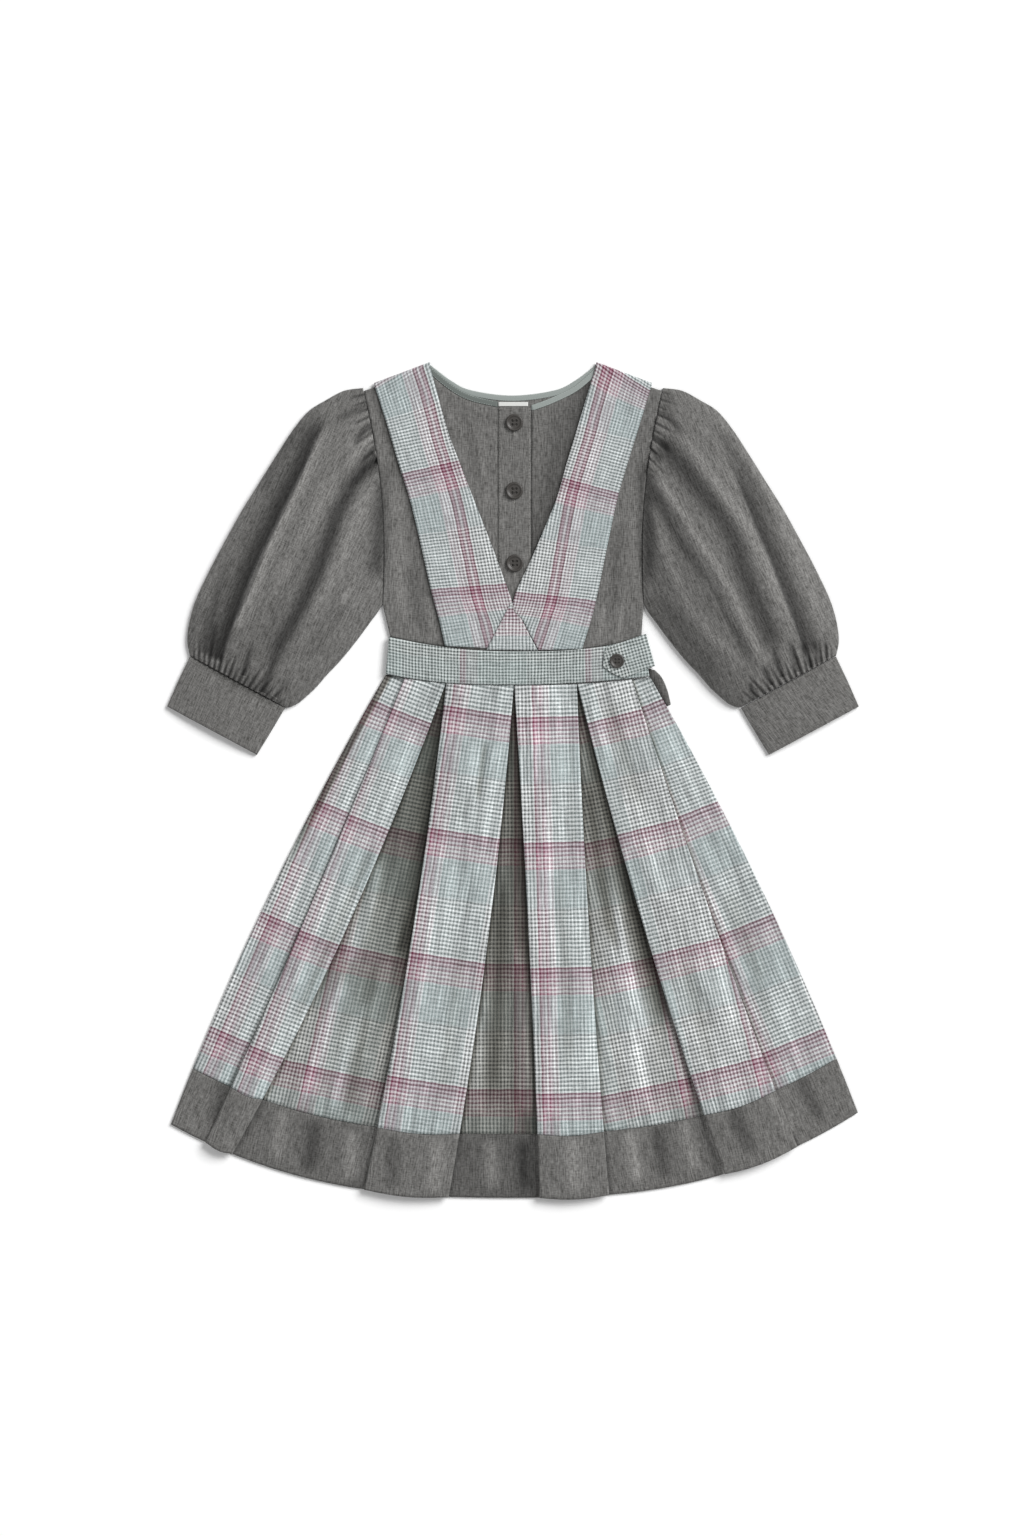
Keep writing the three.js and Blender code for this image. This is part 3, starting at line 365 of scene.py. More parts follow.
CUFF_GATHERS = {
    -1: [
        Gather(0.04, 11, 1.2, 1.2), Gather(0.09, 16, 1.6, 1.4), Gather(0.145, 11, 1.3, 1.2),
        Gather(0.195, 19, 1.8, 1.5), Gather(0.25, 13, 1.5, 1.2), Gather(0.30, 26, 1.9, 1.6),
        Gather(0.355, 14, 1.6, 1.2), Gather(0.405, 20, 1.8, 1.4), Gather(0.455, 11, 1.5, 1.2),
        Gather(0.51, 18, 1.7, 1.4), Gather(0.56, 13, 1.5, 1.2), Gather(0.615, 27, 1.9, 1.6),
        Gather(0.67, 14, 1.6, 1.2), Gather(0.725, 19, 1.7, 1.4), Gather(0.79, 13, 1.4, 1.2),
        Gather(0.85, 16, 1.4, 1.4), Gather(0.93, 11, 1.0, 1.2),
    ],
    1: [
        Gather(0.05, 11, 1.2, 1.2), Gather(0.10, 16, 1.6, 1.4), Gather(0.155, 21, 1.7, 1.5),
        Gather(0.205, 11, 1.4, 1.2), Gather(0.26, 18, 1.7, 1.4), Gather(0.31, 14, 1.5, 1.2),
        Gather(0.365, 28, 1.9, 1.6), Gather(0.42, 13, 1.5, 1.2), Gather(0.47, 19, 1.7, 1.4),
        Gather(0.525, 14, 1.6, 1.2), Gather(0.58, 23, 1.8, 1.6), Gather(0.64, 13, 1.5, 1.2),
        Gather(0.69, 16, 1.6, 1.4), Gather(0.75, 23, 1.7, 1.5), Gather(0.815, 13, 1.4, 1.2),
        Gather(0.87, 16, 1.3, 1.4), Gather(0.94, 10, 0.9, 1.2),
    ],
}

# Straps: the two edges from the waist to the shoulder fold, and how far the strap lies over the other
StrapRow = namedtuple("StrapRow", "out_x out_y in_x in_y up")
STRAP_LEFT = [
    StrapRow(-61.2, 121.0, 17.0, 116.9, 0),
    StrapRow(-67.0, 146.0, 8.5, 140.0, 0),
    StrapRow(-73.8, 171.4, -0.9, 161.6, 0),
    StrapRow(-83.0, 212.0, -17.0, 206.0, 0),
    StrapRow(-92.7, 252.4, -35.1, 252.4, 0),
    StrapRow(-103.0, 285.0, -48.0, 286.0, 0),
    StrapRow(-112.0, 315.4, -59.4, 317.0, 0),
]
STRAP_RIGHT = [
    StrapRow(62.1, 118.2, 22.8, 117.2, 1),
    StrapRow(70.6, 146.0, 9.3, 142.5, 1),
    StrapRow(76.8, 172.0, 0.0, 160.4, 1),
    StrapRow(85.0, 212.0, 19.4, 206.0, 0.3),
    StrapRow(93.6, 252.4, 38.7, 252.4, 0),
    StrapRow(103.0, 285.0, 48.4, 286.0, 0),
    StrapRow(112.4, 315.4, 57.8, 317.0, 0),
]
STRAP_FOLD = StrapRow(124.6, 357.8, 75.0, 376.4, 0)
STRAP_BACK_END = {"out_x": 72.0, "in_x": 13.0}
GUSSET = {"peak": (-1.1, 161.4), "left": (-24.0, 117.2), "right": (22.3, 116.9)}

# The side tab, from its point to the fold at the side, and the facing in the side opening
TabRow = namedtuple("TabRow", "up_x up_y down_x down_y")
TAB_ROWS = [
    TabRow(82.2, 116.6, 80.6, 102.6),
    TabRow(84.6, 119.8, 89.0, 96.4),
    TabRow(98.5, 124.4, 99.6, 91.4),
    TabRow(109.0, 128.2, 112.0, 97.0),
    TabRow(115.6, 130.6, 122.6, 101.4),
]
TAB_TURN = TabRow(119.7, 131.8, 127.6, 103.0)
TAB_SLOPE = 0.3
SIDE_PLACKET = [
    TabRow(122.6, 100.6, 127.8, 99.2),
    TabRow(123.0, 92.6, 134.0, 92.4),
    TabRow(130.6, 80.0, 138.8, 81.4),
    TabRow(138.4, 67.0, 142.0, 68.4),
]

# Buttons
BUTTON = {"radius": 7.75, "height": 2.8, "hole": 0.95, "spread": 1.75}
BUTTON_PLACES = [(1.2, 321.8), (1.2, 260.6), (1.6, 195.4)]
TAB_BUTTON = {"x": 93.4, "y": 107.4, "scale": 0.84}

# Camera
CAMERA = {"x": -0.9, "y": 11.25, "height": 4500, "lens": 117.1875}


def mix(a, b, t):
    return a + (b - a) * t


def hold(t):
    return min(max(t, 0.0), 1.0)


def ease(t):
    t = hold(t)
    return t * t * (3 - 2 * t)


def across(levels, v):
    """A smooth way through three levels: v is 0 at the waist, 0.5 half way and 1 at the hem seam."""
    waist, middle, hem = levels
    return waist * (1 - v) * (1 - 2 * v) + middle * 4 * v * (1 - v) + hem * v * (2 * v - 1)


def crease_height(creases, x, y):
    """How far the creases raise or sink the cloth at a place in plan."""
    total = 0.0
    for c in creases:
        run_x = c.x2 - c.x0
        run_y = c.y2 - c.y0
        length = math.hypot(run_x, run_y)
        run_x /= length
        run_y /= length
        t = ((x - c.x0) * run_x + (y - c.y0) * run_y) / length
        if t <= 0 or t >= 1:
            continue
        bow = (c.x1 - c.x0) * -run_y + (c.y1 - c.y0) * run_x
        aside = (x - c.x0) * -run_y + (y - c.y0) * run_x - bow * 4 * t * (1 - t)
        reach = c.left if aside > 0 else c.right
        if abs(aside) > 2.6 * reach:
            continue
        fade = ease(t / 0.2) * ease((1 - t) / 0.2)
        total += c.rise * fade * math.exp(-((aside / reach) ** 2))
    return total


def laid_folds(table):
    """The folds with their ways turned into millimetres and boxes round all that they reach."""
    laid = []
    for fold in table:
        places = [((x - PICTURE_X) * PIXEL, (PICTURE_Y - y) * PIXEL) for x, y in fold.places]
        reach = 2.2 * max(fold.left, fold.right)
        xs = [x for x, y in places]
        ys = [y for x, y in places]
        box = (min(xs) - reach, max(xs) + reach, min(ys) - reach, max(ys) + reach)
        laid.append((fold._replace(places=places), box, reach))
    return laid


def fold_strength(fold, reach, x, y):
    """How much of a fold lies at a place in plan: 1 on its line and 0 out of its reach."""
    nearest = reach
    strength = 0.0
    last = len(fold.places) - 1
    for k in range(last):
        from_x, from_y = fold.places[k]
        run_x = fold.places[k + 1][0] - from_x
        run_y = fold.places[k + 1][1] - from_y
        t = hold(((x - from_x) * run_x + (y - from_y) * run_y) / (run_x ** 2 + run_y ** 2))
        away = math.hypot(x - from_x - run_x * t, y - from_y - run_y * t)
        if away >= nearest:
            continue
        nearest = away
        turn = run_x * (y - from_y) - run_y * (x - from_x)
        side = fold.left if turn > 0 else fold.right
        along = (k + t) / last
        ends = ease(along / fold.head) * ease((1 - along) / fold.tail)
        strength = ends * math.exp(-((away / side) ** 2))
    return strength


def folds_at(laid, x, y):
    """The rise, and the painted shade and highlight, that the folds give a place."""
    rise = 0.0
    tone = 0.0
    for fold, box, reach in laid:
        if not (box[0] < x < box[1] and box[2] < y < box[3]):
            continue
        strength = fold_strength(fold, reach, x, y)
        rise += fold.rise * strength
        tone += fold.tone * strength
    return rise, tone


def x_at(places, y):
    """Where a line that runs up through the places is at one height."""
    for (x0, y0), (x1, y1) in zip(places, places[1:]):
        if y <= y1:
            break
    return mix(x0, x1, (y - y0) / (y1 - y0))


def path_point(points, t):
    """A place at share t along a smooth path through the given places."""
    spot = hold(t) * (len(points) - 1)
    i = min(int(spot), len(points) - 2)
    f = spot - i
    place = []
    for axis in range(len(points[0])):
        a = points[max(i - 1, 0)][axis]
        b = points[i][axis]
        c = points[i + 1][axis]
        d = points[min(i + 2, len(points) - 1)][axis]
        if i == 0:
            a = 2 * b - c
        if i == len(points) - 2:
            d = 2 * c - b
        bend = (-a + 3 * b - 3 * c + d) * f ** 3 + (2 * a - 5 * b + 4 * c - d) * f ** 2 + (c - a) * f
        place.append(b + bend / 2)
    return place


def spaced_path(points, steps):
    """Places at equal steps along the smooth path."""
    fine = [path_point(points, k / 400) for k in range(401)]
    lengths = [0.0]
    for a, b in zip(fine, fine[1:]):
        lengths.append(lengths[-1] + math.dist(a, b))
    places = []
    k = 0
    for step in range(steps + 1):
        goal = lengths[-1] * step / steps
        while k < 399 and lengths[k + 1] < goal:
            k += 1
        span = lengths[k + 1] - lengths[k]
        f = (goal - lengths[k]) / span
        places.append([mix(a, b, f) for a, b in zip(fine[k], fine[k + 1])])
    return places


def moved_aside(places, distance):
    """The path moved sideways in plan, to the left of its direction where the distance is positive."""
    moved = []
    last = len(places) - 1
    for i, (x, y) in enumerate(places):
        before = places[max(i - 1, 0)]
        after = places[min(i + 1, last)]
        run = math.dist(before, after)
        moved.append([x - (after[1] - before[1]) / run * distance, y + (after[0] - before[0]) / run * distance])
    return moved


def arc_height(arc, x):
    if x < 0:
        return arc.middle + arc.left_rise * (x / arc.left_x) ** arc.left_power
    return arc.middle + arc.right_rise * (x / arc.right_x) ** arc.right_power


def band_top(x):
    return arc_height(BAND_TOP, x)


def band_bottom(x):
    return arc_height(BAND_BOTTOM, x)


# Materials

def new_material(name):
    """An empty material with its nodes, its shader and a short way to add nodes and links."""
    material = bpy.data.materials.new(name)
    material.use_nodes = True
    nodes = material.node_tree.nodes
    links = material.node_tree.links
    shader = nodes["Principled BSDF"]
    return material, nodes, links, shader


def maths(nodes, links, operation, first, second=None):
    node = nodes.new("ShaderNodeMath")
    node.operation = operation
    for socket, value in zip(node.inputs, (first, second)):
        if value is None:
            continue
        if isinstance(value, (int, float)):
            socket.default_value = value
        else:
            links.new(value, socket)
    return node.outputs[0]


def cloth_place(nodes, links):
    """The place on the flat cloth, in metres, from the piece's own coordinates."""
    place = nodes.new("ShaderNodeUVMap")
    place.uv_map = "Cloth"
    parts = nodes.new("ShaderNodeSeparateXYZ")
    links.new(place.outputs[0], parts.inputs[0])
    return place.outputs[0], parts.outputs[0], parts.outputs[1]


def streaks(nodes, links, place, width, length, detail=2.0):
    """Noise drawn out along the cloth's length: width and length in metres."""
    mapping = nodes.new("ShaderNodeMapping")
    mapping.inputs["Scale"].default_value = (1 / width, 1 / length, 1)
    links.new(place, mapping.inputs[0])
    noise = nodes.new("ShaderNodeTexNoise")
    noise.inputs["Scale"].default_value = 1.0
    noise.inputs["Detail"].default_value = detail
    links.new(mapping.outputs[0], noise.inputs["Vector"])
    return noise.outputs[0]


def colour_mix(nodes, links, share, first, second, kind="MIX"):
    node = nodes.new("ShaderNodeMix")
    node.data_type = "RGBA"
    node.blend_type = kind
    for socket, value in ((node.inputs[0], share), (node.inputs[6], first), (node.inputs[7], second)):
        if isinstance(value, (int, float)):
            socket.default_value = value
        elif isinstance(value, tuple):
            socket.default_value = value
        else:
            links.new(value, socket)
    return node.outputs[2]


def add_bump(nodes, links, shader, height, distance, strength=1.0):
    bump = nodes.new("ShaderNodeBump")
    bump.inputs["Strength"].default_value = strength
    bump.inputs["Distance"].default_value = distance
    links.new(height, bump.inputs["Height"])
    links.new(bump.outputs[0], shader.inputs["Normal"])


# Painted shade and highlight: each corner's Shade value, raised to the power 2.2 so that it scales the linear
# colour as the eye sees it
def shade_attribute(nodes, links):
    node = nodes.new("ShaderNodeAttribute")
    node.attribute_name = "Shade"
    return maths(nodes, links, "POWER", node.outputs["Fac"], 2.2)


def toned(nodes, links, colour, tone):
    node = nodes.new("ShaderNodeVectorMath")
    node.operation = "SCALE"
    links.new(colour, node.inputs[0])
    links.new(tone, node.inputs["Scale"])
    return node.outputs[0]


def rgb(red, green, blue):
    """A colour given as the eye sees it, 0 to 255, as the shader's linear one."""
    linear = []
    for value in (red, green, blue):
        share = value / 255
        linear.append(share / 12.92 if share <= 0.04045 else ((share + 0.055) / 1.055) ** 2.4)
    return (*linear, 1.0)


def grey_material(settings):
    material, nodes, links, shader = new_material("Grey cloth")
    place, u, v = cloth_place(nodes, links)
    slub = streaks(nodes, links, place, 0.0010, 0.0055, 3.0)
    cross = streaks(nodes, links, place, 0.0045, 0.0010, 3.0)
    long_slub = streaks(nodes, links, place, 0.0013, 0.016, 2.0)
    shade_cloud = streaks(nodes, links, place, 0.030, 0.045, 2.0)
    dark = rgb(*settings.grey_dark)
    light = rgb(*settings.grey_light)
    woven = maths(nodes, links, "ADD", maths(nodes, links, "MULTIPLY", slub, 0.9), maths(
        nodes, links, "MULTIPLY", cross, 0.7))
    woven = maths(nodes, links, "ADD", woven, maths(nodes, links, "MULTIPLY", long_slub, 0.7))
    yarn = maths(nodes, links, "MULTIPLY_ADD", woven, 1.9)
    yarn.node.inputs[2].default_value = -1.66
    base = colour_mix(nodes, links, yarn, dark, light)
    # Painted shade: large soft patches pulled towards the dark yarn, for the soft shading of creases; then the
    # Shade value darkens or lightens it
    shade_clouded = colour_mix(nodes, links, maths(nodes, links, "MULTIPLY", shade_cloud, 0.3), base, dark)
    links.new(toned(nodes, links, shade_clouded, shade_attribute(nodes, links)), shader.inputs["Base Color"])
    shader.inputs["Roughness"].default_value = 0.9
    shader.inputs["Specular IOR Level"].default_value = 0.2
    shader.inputs["Sheen Weight"].default_value = 0.15
    shader.inputs["Sheen Roughness"].default_value = 0.5
    rumple = streaks(nodes, links, place, 0.009, 0.022, 2.0)
    height = maths(nodes, links, "ADD", maths(nodes, links, "MULTIPLY", woven, 0.5), maths(
        nodes, links, "MULTIPLY", rumple, 3.2))
    add_bump(nodes, links, shader, height, 0.00035, 0.8)
    return material


def yarn_colours(nodes, links, along, period, bands):
    """The dark and the pale colour of yarn and the dark one's cover, which change in bands."""
    share = maths(nodes, links, "FRACT", maths(nodes, links, "DIVIDE", along, period))
    ramps = []
    for colours in ([rgb(*band.dark) for band in bands], [rgb(*band.pale) for band in bands],
                    [(band.cover, band.cover, band.cover, 1.0) for band in bands]):
        node = nodes.new("ShaderNodeValToRGB")
        ramp = node.color_ramp
        ramp.interpolation = "CONSTANT"
        while len(ramp.elements) < len(bands):
            ramp.elements.new(1.0)
        for element, band, colour in zip(ramp.elements, bands, colours):
            element.position = band.start
            element.color = colour
        links.new(share, node.inputs[0])
        ramps.append(node.outputs[0])
    return ramps


# The check's bands each way of the cloth: where each starts in a repeat, its dark and pale yarn, and how
# much more than its half the dark yarn covers of what it crosses
Band = namedtuple("Band", "start dark pale cover", defaults=(0.0,))
CROSS_BANDS = [
    Band(0.0, (100, 34, 62), (196, 172, 182), 0.19),
    Band(0.064, (122, 70, 90), (208, 196, 202), 0.08),
    Band(0.115, (140, 100, 114), (216, 210, 212)),
    Band(0.215, (134, 145, 145), (188, 197, 198)),
    Band(0.53, (106, 109, 109), (228, 231, 231)),
]
DOWN_BANDS = [
    Band(0.0, (112, 54, 74), (192, 166, 176), 0.1),
    Band(0.026, (138, 116, 124), (212, 205, 208)),
    Band(0.058, (126, 82, 98), (202, 186, 193)),
    Band(0.084, (142, 130, 135), (214, 214, 215)),
    Band(0.14, (130, 141, 141), (200, 208, 208)),
    Band(0.53, (110, 113, 113), (226, 229, 229)),
]
STRAP_DOWN_BANDS = [
    Band(0.0, (100, 32, 57), (178, 134, 149), 0.15),
    Band(0.030, (140, 108, 119), (212, 200, 205)),
    Band(0.062, (100, 32, 57), (178, 134, 149), 0.15),
    Band(0.092, (146, 128, 135), (226, 222, 225)),
    Band(0.18, (130, 142, 142), (200, 208, 209)),
    Band(0.53, (106, 109, 109), (228, 231, 231)),
]
WAIST_DOWN_BANDS = [
    Band(0.0, (122, 84, 98), (196, 186, 190)),
    Band(0.05, (136, 136, 138), (204, 208, 207)),
    Band(0.14, (110, 122, 120), (203, 212, 211)),
    Band(0.53, (96, 104, 102), (209, 215, 214)),
]
WAIST_CROSS_BANDS = [
    Band(0.0, (120, 70, 90), (196, 184, 189)),
    Band(0.09, (142, 120, 128), (206, 206, 207)),
    Band(0.215, (88, 99, 97), (194, 203, 202)),
    Band(0.53, (70, 77, 75), (211, 217, 215)),
]


def plaid_material(settings, name, down_bands, cross_bands, across_pitch, down_pitch, drape_shade_depth):
    material, nodes, links, shader = new_material(name)
    place, u, v = cloth_place(nodes, links)
    wobble = streaks(nodes, links, place, 0.010, 0.016, 2.0)
    sides = []
    covers = []
    for along, bands, pitch in ((u, down_bands, across_pitch), (v, cross_bands, down_pitch)):
        shifted = maths(nodes, links, "ADD", along, maths(nodes, links, "MULTIPLY", wobble, 0.0014))
        pitch = settings.pane / round(settings.pane / pitch)
        dark, pale, cover = yarn_colours(nodes, links, shifted, settings.pane, bands)
        step = maths(nodes, links, "FRACT", maths(nodes, links, "DIVIDE", shifted, pitch))
        is_dark = maths(nodes, links, "LESS_THAN", step, 0.5)
        sides.append(colour_mix(nodes, links, is_dark, pale, dark))
        covers.append(maths(nodes, links, "MULTIPLY", is_dark, cover))
    share = maths(nodes, links, "ADD", maths(nodes, links, "SUBTRACT", covers[1], covers[0]), 0.5)
    woven = colour_mix(nodes, links, share, sides[0], sides[1])
    fine = streaks(nodes, links, place, 0.0009, 0.0011, 2.0)
    slub = streaks(nodes, links, place, 0.0013, 0.024, 2.0)
    weft_slub = streaks(nodes, links, place, 0.020, 0.0013, 2.0)
    grain = maths(nodes, links, "ADD", maths(nodes, links, "ADD", fine, slub), weft_slub)
    grain = maths(nodes, links, "MULTIPLY_ADD", grain, 0.85)
    grain.node.inputs[2].default_value = -0.36
    # Painted shade: long soft streaks down the cloth, darker and lighter, for the shading of its drape; from here
    # the grain carries it
    drape_shade = maths(nodes, links, "MULTIPLY_ADD", streaks(nodes, links, place, 0.009, 0.100, 2.0), drape_shade_depth)
    drape_shade.node.inputs[2].default_value = 1 - drape_shade_depth * 0.5
    grain = maths(nodes, links, "MULTIPLY", grain, drape_shade)
    # Painted shade and highlight from the Shade value, with a warm tint where the shade is deep
    tone = shade_attribute(nodes, links)
    cloth = colour_mix(nodes, links, tone, rgb(232, 226, 208), rgb(255, 255, 255))
    cloth = colour_mix(nodes, links, 1.0, toned(nodes, links, woven, grain), cloth, "MULTIPLY")
    links.new(toned(nodes, links, cloth, tone), shader.inputs["Base Color"])
    shader.inputs["Roughness"].default_value = 0.88
    shader.inputs["Specular IOR Level"].default_value = 0.2
    shader.inputs["Sheen Weight"].default_value = 0.08
    shader.inputs["Sheen Roughness"].default_value = 0.6
    rumple = streaks(nodes, links, place, 0.008, 0.030, 2.0)
    height = maths(nodes, links, "ADD", maths(nodes, links, "ADD", fine, slub), maths(
        nodes, links, "MULTIPLY", rumple, 3.4))
    add_bump(nodes, links, shader, height, 0.00035, 0.8)
    return material


def plain_material(name, colour, roughness, bump=0.0, sheen=0.0, specular=0.3):
    material, nodes, links, shader = new_material(name)
    shader.inputs["Base Color"].default_value = rgb(*colour)
    shader.inputs["Roughness"].default_value = roughness
    shader.inputs["Specular IOR Level"].default_value = specular
    shader.inputs["Sheen Weight"].default_value = sheen
    if bump:
        place = nodes.new("ShaderNodeTexCoord")
        noise = nodes.new("ShaderNodeTexNoise")
        noise.inputs["Scale"].default_value = 900
        links.new(place.outputs["Object"], noise.inputs["Vector"])
        add_bump(nodes, links, shader, noise.outputs[0], bump, 0.6)
    return material


MATERIALS = {}


def make_materials(settings):
    MATERIALS["grey"] = grey_material(settings)
    check = settings.check
    MATERIALS["plaid"] = plaid_material(settings, "Plaid cloth", DOWN_BANDS, CROSS_BANDS, check, check * 1.14, 1.1)
    MATERIALS["strap_plaid"] = plaid_material(
        settings, "Strap plaid", STRAP_DOWN_BANDS, CROSS_BANDS, check * 0.94, check * 0.94, 0.4)
    MATERIALS["waist_plaid"] = plaid_material(
        settings, "Waist plaid", WAIST_DOWN_BANDS, WAIST_CROSS_BANDS, check * 0.9, check * 0.9, 0.3)
    MATERIALS["binding"] = plain_material("Sage binding", (146, 153, 150), 0.9, 0.0003, 0.1)
    # A darker copy of the sage binding: painted shade for the left front binding
    MATERIALS["shaded_binding"] = plain_material("Shaded binding", (104, 110, 107), 0.9, 0.0003, 0.1)
    MATERIALS["pale_thread"] = plain_material("Pale thread", (146, 145, 141), 0.8, 0.0, 0.2)
    MATERIALS["label"] = plain_material("White tape", (214, 215, 212), 0.85, 0.0001)
    MATERIALS["button"] = plain_material("Dark button", (60, 57, 54), 0.42, 0.0, 0.0, 0.5)
    MATERIALS["grey_thread"] = plain_material("Grey thread", (84, 82, 79), 0.8, 0.0, 0.2)
    MATERIALS["white_thread"] = plain_material("White thread", (206, 208, 204), 0.8, 0.0, 0.2)
    MATERIALS["sage_thread"] = plain_material("Sage thread", (168, 176, 172), 0.8, 0.0, 0.2)
    MATERIALS["dark_thread"] = plain_material("Dark thread", (58, 55, 52), 0.7, 0.0, 0.2)


# Making pieces

def grid_mesh(name, points, cloth, ring=False, shade=None):
    """A grid of cloth. points[i][j] is in millimetres, and cloth(i, j, column) is the place on the flat
    cloth, in millimetres, of that point as seen from the face in that column."""
    rows = len(points) - 1
    columns = len(points[0]) - 1
    shape = bmesh.new()
    bmesh.ops.create_grid(shape, x_segments=columns, y_segments=rows, size=0.5)
    layer = shape.loops.layers.uv.new("Cloth")
    # Shade: each corner's painted shade (below 1) and painted highlight (above 1)
    tone = shape.verts.layers.float.new("Shade")
    index = {}
    for corner in shape.verts:
        index[corner] = (round((0.5 - corner.co.y) * rows), round((corner.co.x + 0.5) * columns))
    for face in shape.faces:
        face.smooth = True
        column = min(index[corner][1] for corner in face.verts)
        for loop in face.loops:
            i, j = index[loop.vert]
            u, v = cloth(i, j, column)
            loop[layer].uv = (u * MM, v * MM)
    for corner, (i, j) in index.items():
        x, y, z = points[i][j]
        corner.co = (x * MM, y * MM, z * MM)
        corner[tone] = shade(i, j) if shade else 1.0
    if ring:
        bmesh.ops.remove_doubles(shape, verts=shape.verts[:], dist=1e-6)
    mesh = bpy.data.meshes.new(name)
    shape.to_mesh(mesh)
    shape.free()
    return mesh


def place_piece(mesh, name, material, nodes=()):
    """Puts a finished mesh into the scene as a piece that stands for those CAD nodes."""
    piece = bpy.data.objects.new(name, mesh)
    bpy.context.scene.collection.objects.link(piece)
    mesh.materials.append(MATERIALS[material])
    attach(piece, "root")
    if nodes:
        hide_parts(*nodes)
    return piece


def thicken(piece, wall, offset=0.0):
    solidify = piece.modifiers.new("Wall", "SOLIDIFY")
    solidify.thickness = wall * MM
    solidify.offset = offset
    solidify.use_even_offset = True
    return solidify


# Flat size of each sheet's cut: width and length, its area in square metres where it isn't a rectangle,
# how it is held and what it lies on
Cut = namedtuple("Cut", "width length area held rests_on")
CUTS = {
    "skirt_front": Cut(0.72, 0.41, 0.226, "laid", ["skirt_back"]),
    "hem_band_front": Cut(0.76, 0.058, 0.042, "laid", ["hem_band_back"]),
    "skirt_back": Cut(0.58, 0.41, 0.165, "laid", []),
    "hem_band_back": Cut(0.64, 0.058, 0.036, "laid", []),
    "waistband_front": Cut(0.236, 0.032, None, "laid", ["waistband_back"]),
    "waistband_back": Cut(0.236, 0.032, None, "laid", []),
    "waist_tab": Cut(0.056, 0.034, None, "folded", ["waistband_front"]),
    "side_placket": Cut(0.034, 0.011, None, "laid", []),
    "bodice_front_left": Cut(0.12, 0.24, 0.0226, "laid", ["bodice_back"]),
    "bodice_front_right": Cut(0.12, 0.24, 0.0226, "laid", ["bodice_back"]),
    "placket": Cut(0.030, 0.220, None, "laid", ["bodice_back"]),
    "bodice_back": Cut(0.266, 0.25, 0.053, "laid", []),
    "neck_binding_front_left": Cut(0.074, 0.0102, 0.00036, "laid", ["bodice_back"]),
    "neck_binding_front_right": Cut(0.074, 0.0102, 0.00036, "laid", ["bodice_back"]),
    "neck_binding_back": Cut(0.162, 0.0102, 0.0008, "laid", ["strap_left", "strap_right"]),
    "neck_label": Cut(0.027, 0.0105, 0.000104, "laid", ["bodice_back"]),
    "strap_left": Cut(0.062, 0.52, None, "folded", ["bodice_front_left"]),
    "strap_right": Cut(0.062, 0.52, None, "folded", ["bodice_front_right", "strap_left"]),
    "strap_gusset": Cut(0.046, 0.044, 0.00105, "laid", ["strap_left"]),
    "sleeve_left": Cut(0.39, 0.26, 0.0900, "gathered", []),
    "sleeve_right": Cut(0.39, 0.26, 0.0900, "gathered", []),
    "cuff_left": Cut(0.192, 0.049, None, "laid", []),
    "cuff_right": Cut(0.192, 0.049, None, "laid", []),
}


def declare_cut(name):
    cut = CUTS[name]
    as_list(cut.rests_on)


def simple_cloth(points):
    """Cloth coordinates for a piece that lies flat: its own plan place."""
    def cloth(i, j, column):
        return points[i][j][0], points[i][j][1]
    return cloth


def turned_cloth(points, lean, x, y):
    """The same, turned so that the warp leans, with the given place at the start of both repeats."""
    cos = math.cos(math.radians(lean))
    sin = math.sin(math.radians(lean))

    def cloth(i, j, column):
        dx = points[i][j][0] - x
        dy = points[i][j][1] - y
        return dx * cos - dy * sin, -dx * sin - dy * cos
    return cloth


# The skirt

def skirt_y(x, v):
    side = LEFT_SIDE if x < 0 else RIGHT_SIDE
    rise = LEFT_RISE if x < 0 else RIGHT_RISE
    reach = abs(x / across(side, v))
    return BAND_BOTTOM.middle - SEAM - SKIRT_DROP * v + mix(*rise, v) * reach ** HEM_CURVE_POWER


def turn_points(edge, side, from_z, to_z, part, columns=TURN_COLUMNS):
    """A fold where the cloth turns back: points round a half circle."""
    radius = abs(to_z - from_z) / 2
    centre = edge - side * (radius + WALL / 2)
    points = []
    for k in range(columns + 1):
        angle = math.pi * k / columns
        x = centre + side * radius * math.sin(angle)
        z = (from_z + to_z) / 2 - (to_z - from_z) / 2 * math.cos(angle)
        points.append((x, z, 0.0, part, 1.0))
    return points


def level_points(from_x, to_x, z, part, columns):
    points = []
    for k in range(1, columns):
        t = k / columns
        points.append((mix(from_x, to_x, t), z, 0.0, part, t))
    return points


def panel_points(from_x, to_x, z, v, part):
    points = []
    for k in range(1, PANEL_COLUMNS):
        t = k / PANEL_COLUMNS
        swell = math.sin(math.pi * t) * ease(v)
        points.append((mix(from_x, to_x, t), z + PLEAT_DOME * swell, PLEAT_HANG * swell, part, t))
    return points


